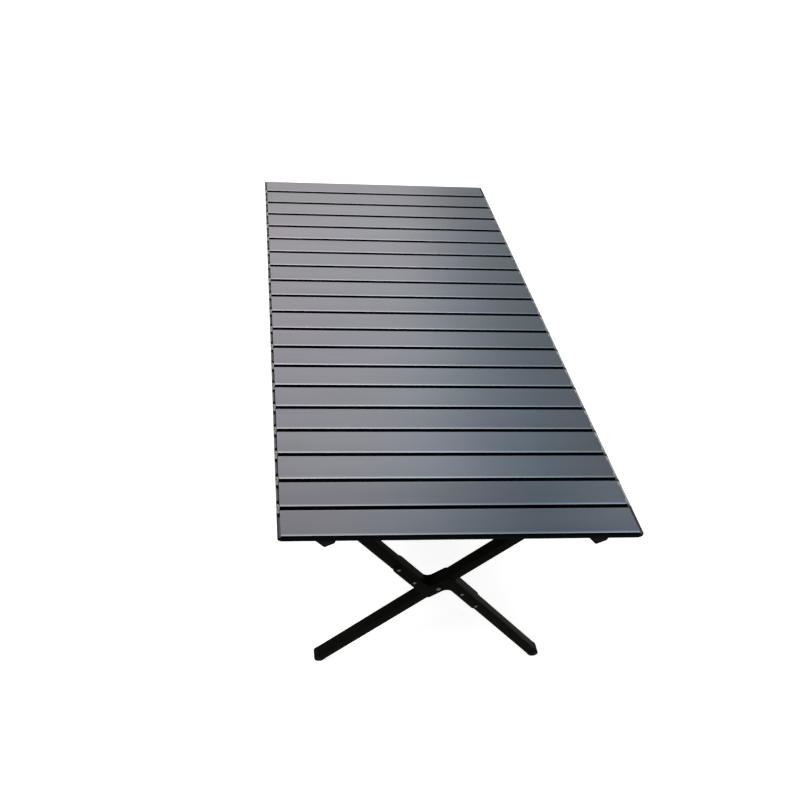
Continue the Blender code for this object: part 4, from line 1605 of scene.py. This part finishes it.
@dataclass(frozen=True)
class Viewpoint:
    """Camera at the photograph's viewing angle."""

    place: Triple = (-0.3583, -1.4102, 1.4781)
    pitch: float = math.radians(38.609)
    yaw: float = math.radians(6.4505)
    roll: float = math.radians(-4.5704)
    lens: float = 36.57
    sensor: float = 36.0
    shift_x: float = 0.1083
    shift_y: float = -0.0623

    def build(self) -> None:
        """Add the camera and make it the scene's."""
        ahead = Vector((math.sin(self.yaw) * math.cos(self.pitch),
                        math.cos(self.yaw) * math.cos(self.pitch), -math.sin(self.pitch)))
        level = Vector((math.cos(self.yaw), -math.sin(self.yaw), 0.0))
        steep = ahead.cross(level)
        right = math.cos(self.roll) * level + math.sin(self.roll) * steep
        down = math.cos(self.roll) * steep - math.sin(self.roll) * level
        data = bpy.data.cameras.new("photo_view")
        data.lens = self.lens
        data.sensor_width = self.sensor
        data.shift_x = self.shift_x
        data.shift_y = self.shift_y
        camera = bpy.data.objects.new("photo_view", data)
        turn = Matrix((right, -down, -ahead)).transposed().to_4x4()
        camera.matrix_world = Matrix.Translation(self.place) @ turn
        bpy.context.scene.collection.objects.link(camera)
        bpy.context.scene.camera = camera


@dataclass(frozen=True)
class Panel:
    """Soft rectangular light that faces a point."""

    name: str
    place: Triple
    aim: Triple
    size: tuple[float, float]
    power: float

    def build(self) -> None:
        """Add the light."""
        data = bpy.data.lights.new(self.name, "AREA")
        data.shape = "RECTANGLE"
        data.size, data.size_y = self.size
        data.energy = self.power
        lamp = bpy.data.objects.new(self.name, data)
        lamp.location = self.place
        ahead = Vector(self.aim) - Vector(self.place)
        lamp.rotation_euler = ahead.to_track_quat("-Z", "Y").to_euler()
        bpy.context.scene.collection.objects.link(lamp)


def seen(nodes: bpy.types.Nodes, links: bpy.types.NodeLinks) -> Socket:
    """Tell rays that see a surface from those that only carry its light.

    Args:
        nodes: Nodes of the surface's or the world's graph.
        links: Links of the same graph.

    Returns:
        1 for the camera, gloss and glass, and 0 for the rest.
    """
    path = nodes.new("ShaderNodeLightPath")
    total = path.outputs["Is Camera Ray"]
    for name in ("Is Glossy Ray", "Is Transmission Ray"):
        either = nodes.new("ShaderNodeMath")
        either.operation = "MAXIMUM"
        links.new(total, either.inputs[0])
        links.new(path.outputs[name], either.inputs[1])
        total = either.outputs["Value"]
    return total


@dataclass(frozen=True)
class Studio:
    """Pale floor, white surroundings and soft lights."""

    floor_half: float = 12.0
    floor_tone: float = 0.8
    floor_roughness: float = 0.9
    floor_sheen: float = 0.1
    glow: float = 0.72
    ambient: float = 0.32
    panels: tuple[Panel, ...] = (
        Panel("back", (-0.5, 4.25, 3.9), (0.0, 0.0, 0.4), (4.85, 4.6), 202.0),
        Panel("overhead", (-1.6, -0.9, 3.2), (0.0, 0.0, 0.4), (1.6, 1.6), 50.0),
        Panel("front", (-0.9, -4.4, 2.6), (0.0, -0.3, 0.3), (2.6, 1.4), 30.0),
    )

    def floor(self) -> None:
        """Add the floor, white to the camera apart from the table's shadow."""
        mesh = bpy.data.meshes.new("floor")
        half, tone = self.floor_half, self.floor_tone
        corners = [(x, y, 0.0) for x, y in rectangle((-half, -half), (half, half))]
        mesh.from_pydata(corners, [], [(0, 1, 2, 3)])
        graph = Graph("floor_white")
        graph.put("Base Color", (tone, tone, tone, 1.0))
        graph.put("Roughness", self.floor_roughness)
        graph.put("Specular IOR Level", self.floor_sheen)
        graph.put("Emission Color", WHITE)
        seen_only = seen(graph.nodes, graph.links)
        graph.feed("Emission Strength", graph.ranged(seen_only, (0.0, 1.0), (0.0, self.glow)))
        mesh.materials.append(graph.material)
        floor = bpy.data.objects.new("floor", mesh)
        bpy.context.scene.collection.objects.link(floor)

    def surroundings(self) -> None:
        """Light the scene softly from all round, with a white background."""
        world = bpy.data.worlds.new("white_studio")
        world.use_nodes = True
        nodes, links = world.node_tree.nodes, world.node_tree.links
        background = nodes["Background"]
        background.inputs["Color"].default_value = WHITE
        strength = nodes.new("ShaderNodeMapRange")
        strength.inputs["To Min"].default_value = self.ambient
        strength.inputs["To Max"].default_value = 1.0
        links.new(seen(nodes, links), strength.inputs["Value"])
        links.new(strength.outputs["Result"], background.inputs["Strength"])
        bpy.context.scene.world = world

    def build(self) -> None:
        """Add the floor, the surroundings and the lights."""
        bpy.context.scene.view_settings.view_transform = "Standard"
        self.floor()
        self.surroundings()
        for panel in self.panels:
            panel.build()


def main() -> None:
    """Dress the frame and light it."""
    logging.basicConfig(level=logging.INFO, format="%(message)s")
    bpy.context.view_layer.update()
    Viewpoint().build()
    count = sum(name.startswith("slat_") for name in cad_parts)
    finishes = Finishes.build(count)
    for number in range(1, count + 1):
        Slat(number, count).build(finishes)
    LOG.info("top: %d slats", count)
    for end, slat in ((End.NEAR, 1), (End.FAR, count)):
        for side in Side:
            EndHook(f"end_hook_{end.key}_{side.key}", f"top_slat_{slat:02d}", end).build(finishes)
        LOG.info("hooks: %s end", end.key)
    for end in End:
        LegPair(end).build(finishes)
        LOG.info("legs: %s pair", end.key)
    for side in Side:
        SideFrame(side).build(finishes)
        LOG.info("side frame: %s", side.key)
    Studio().build()


if __name__ == "__main__":
    main()
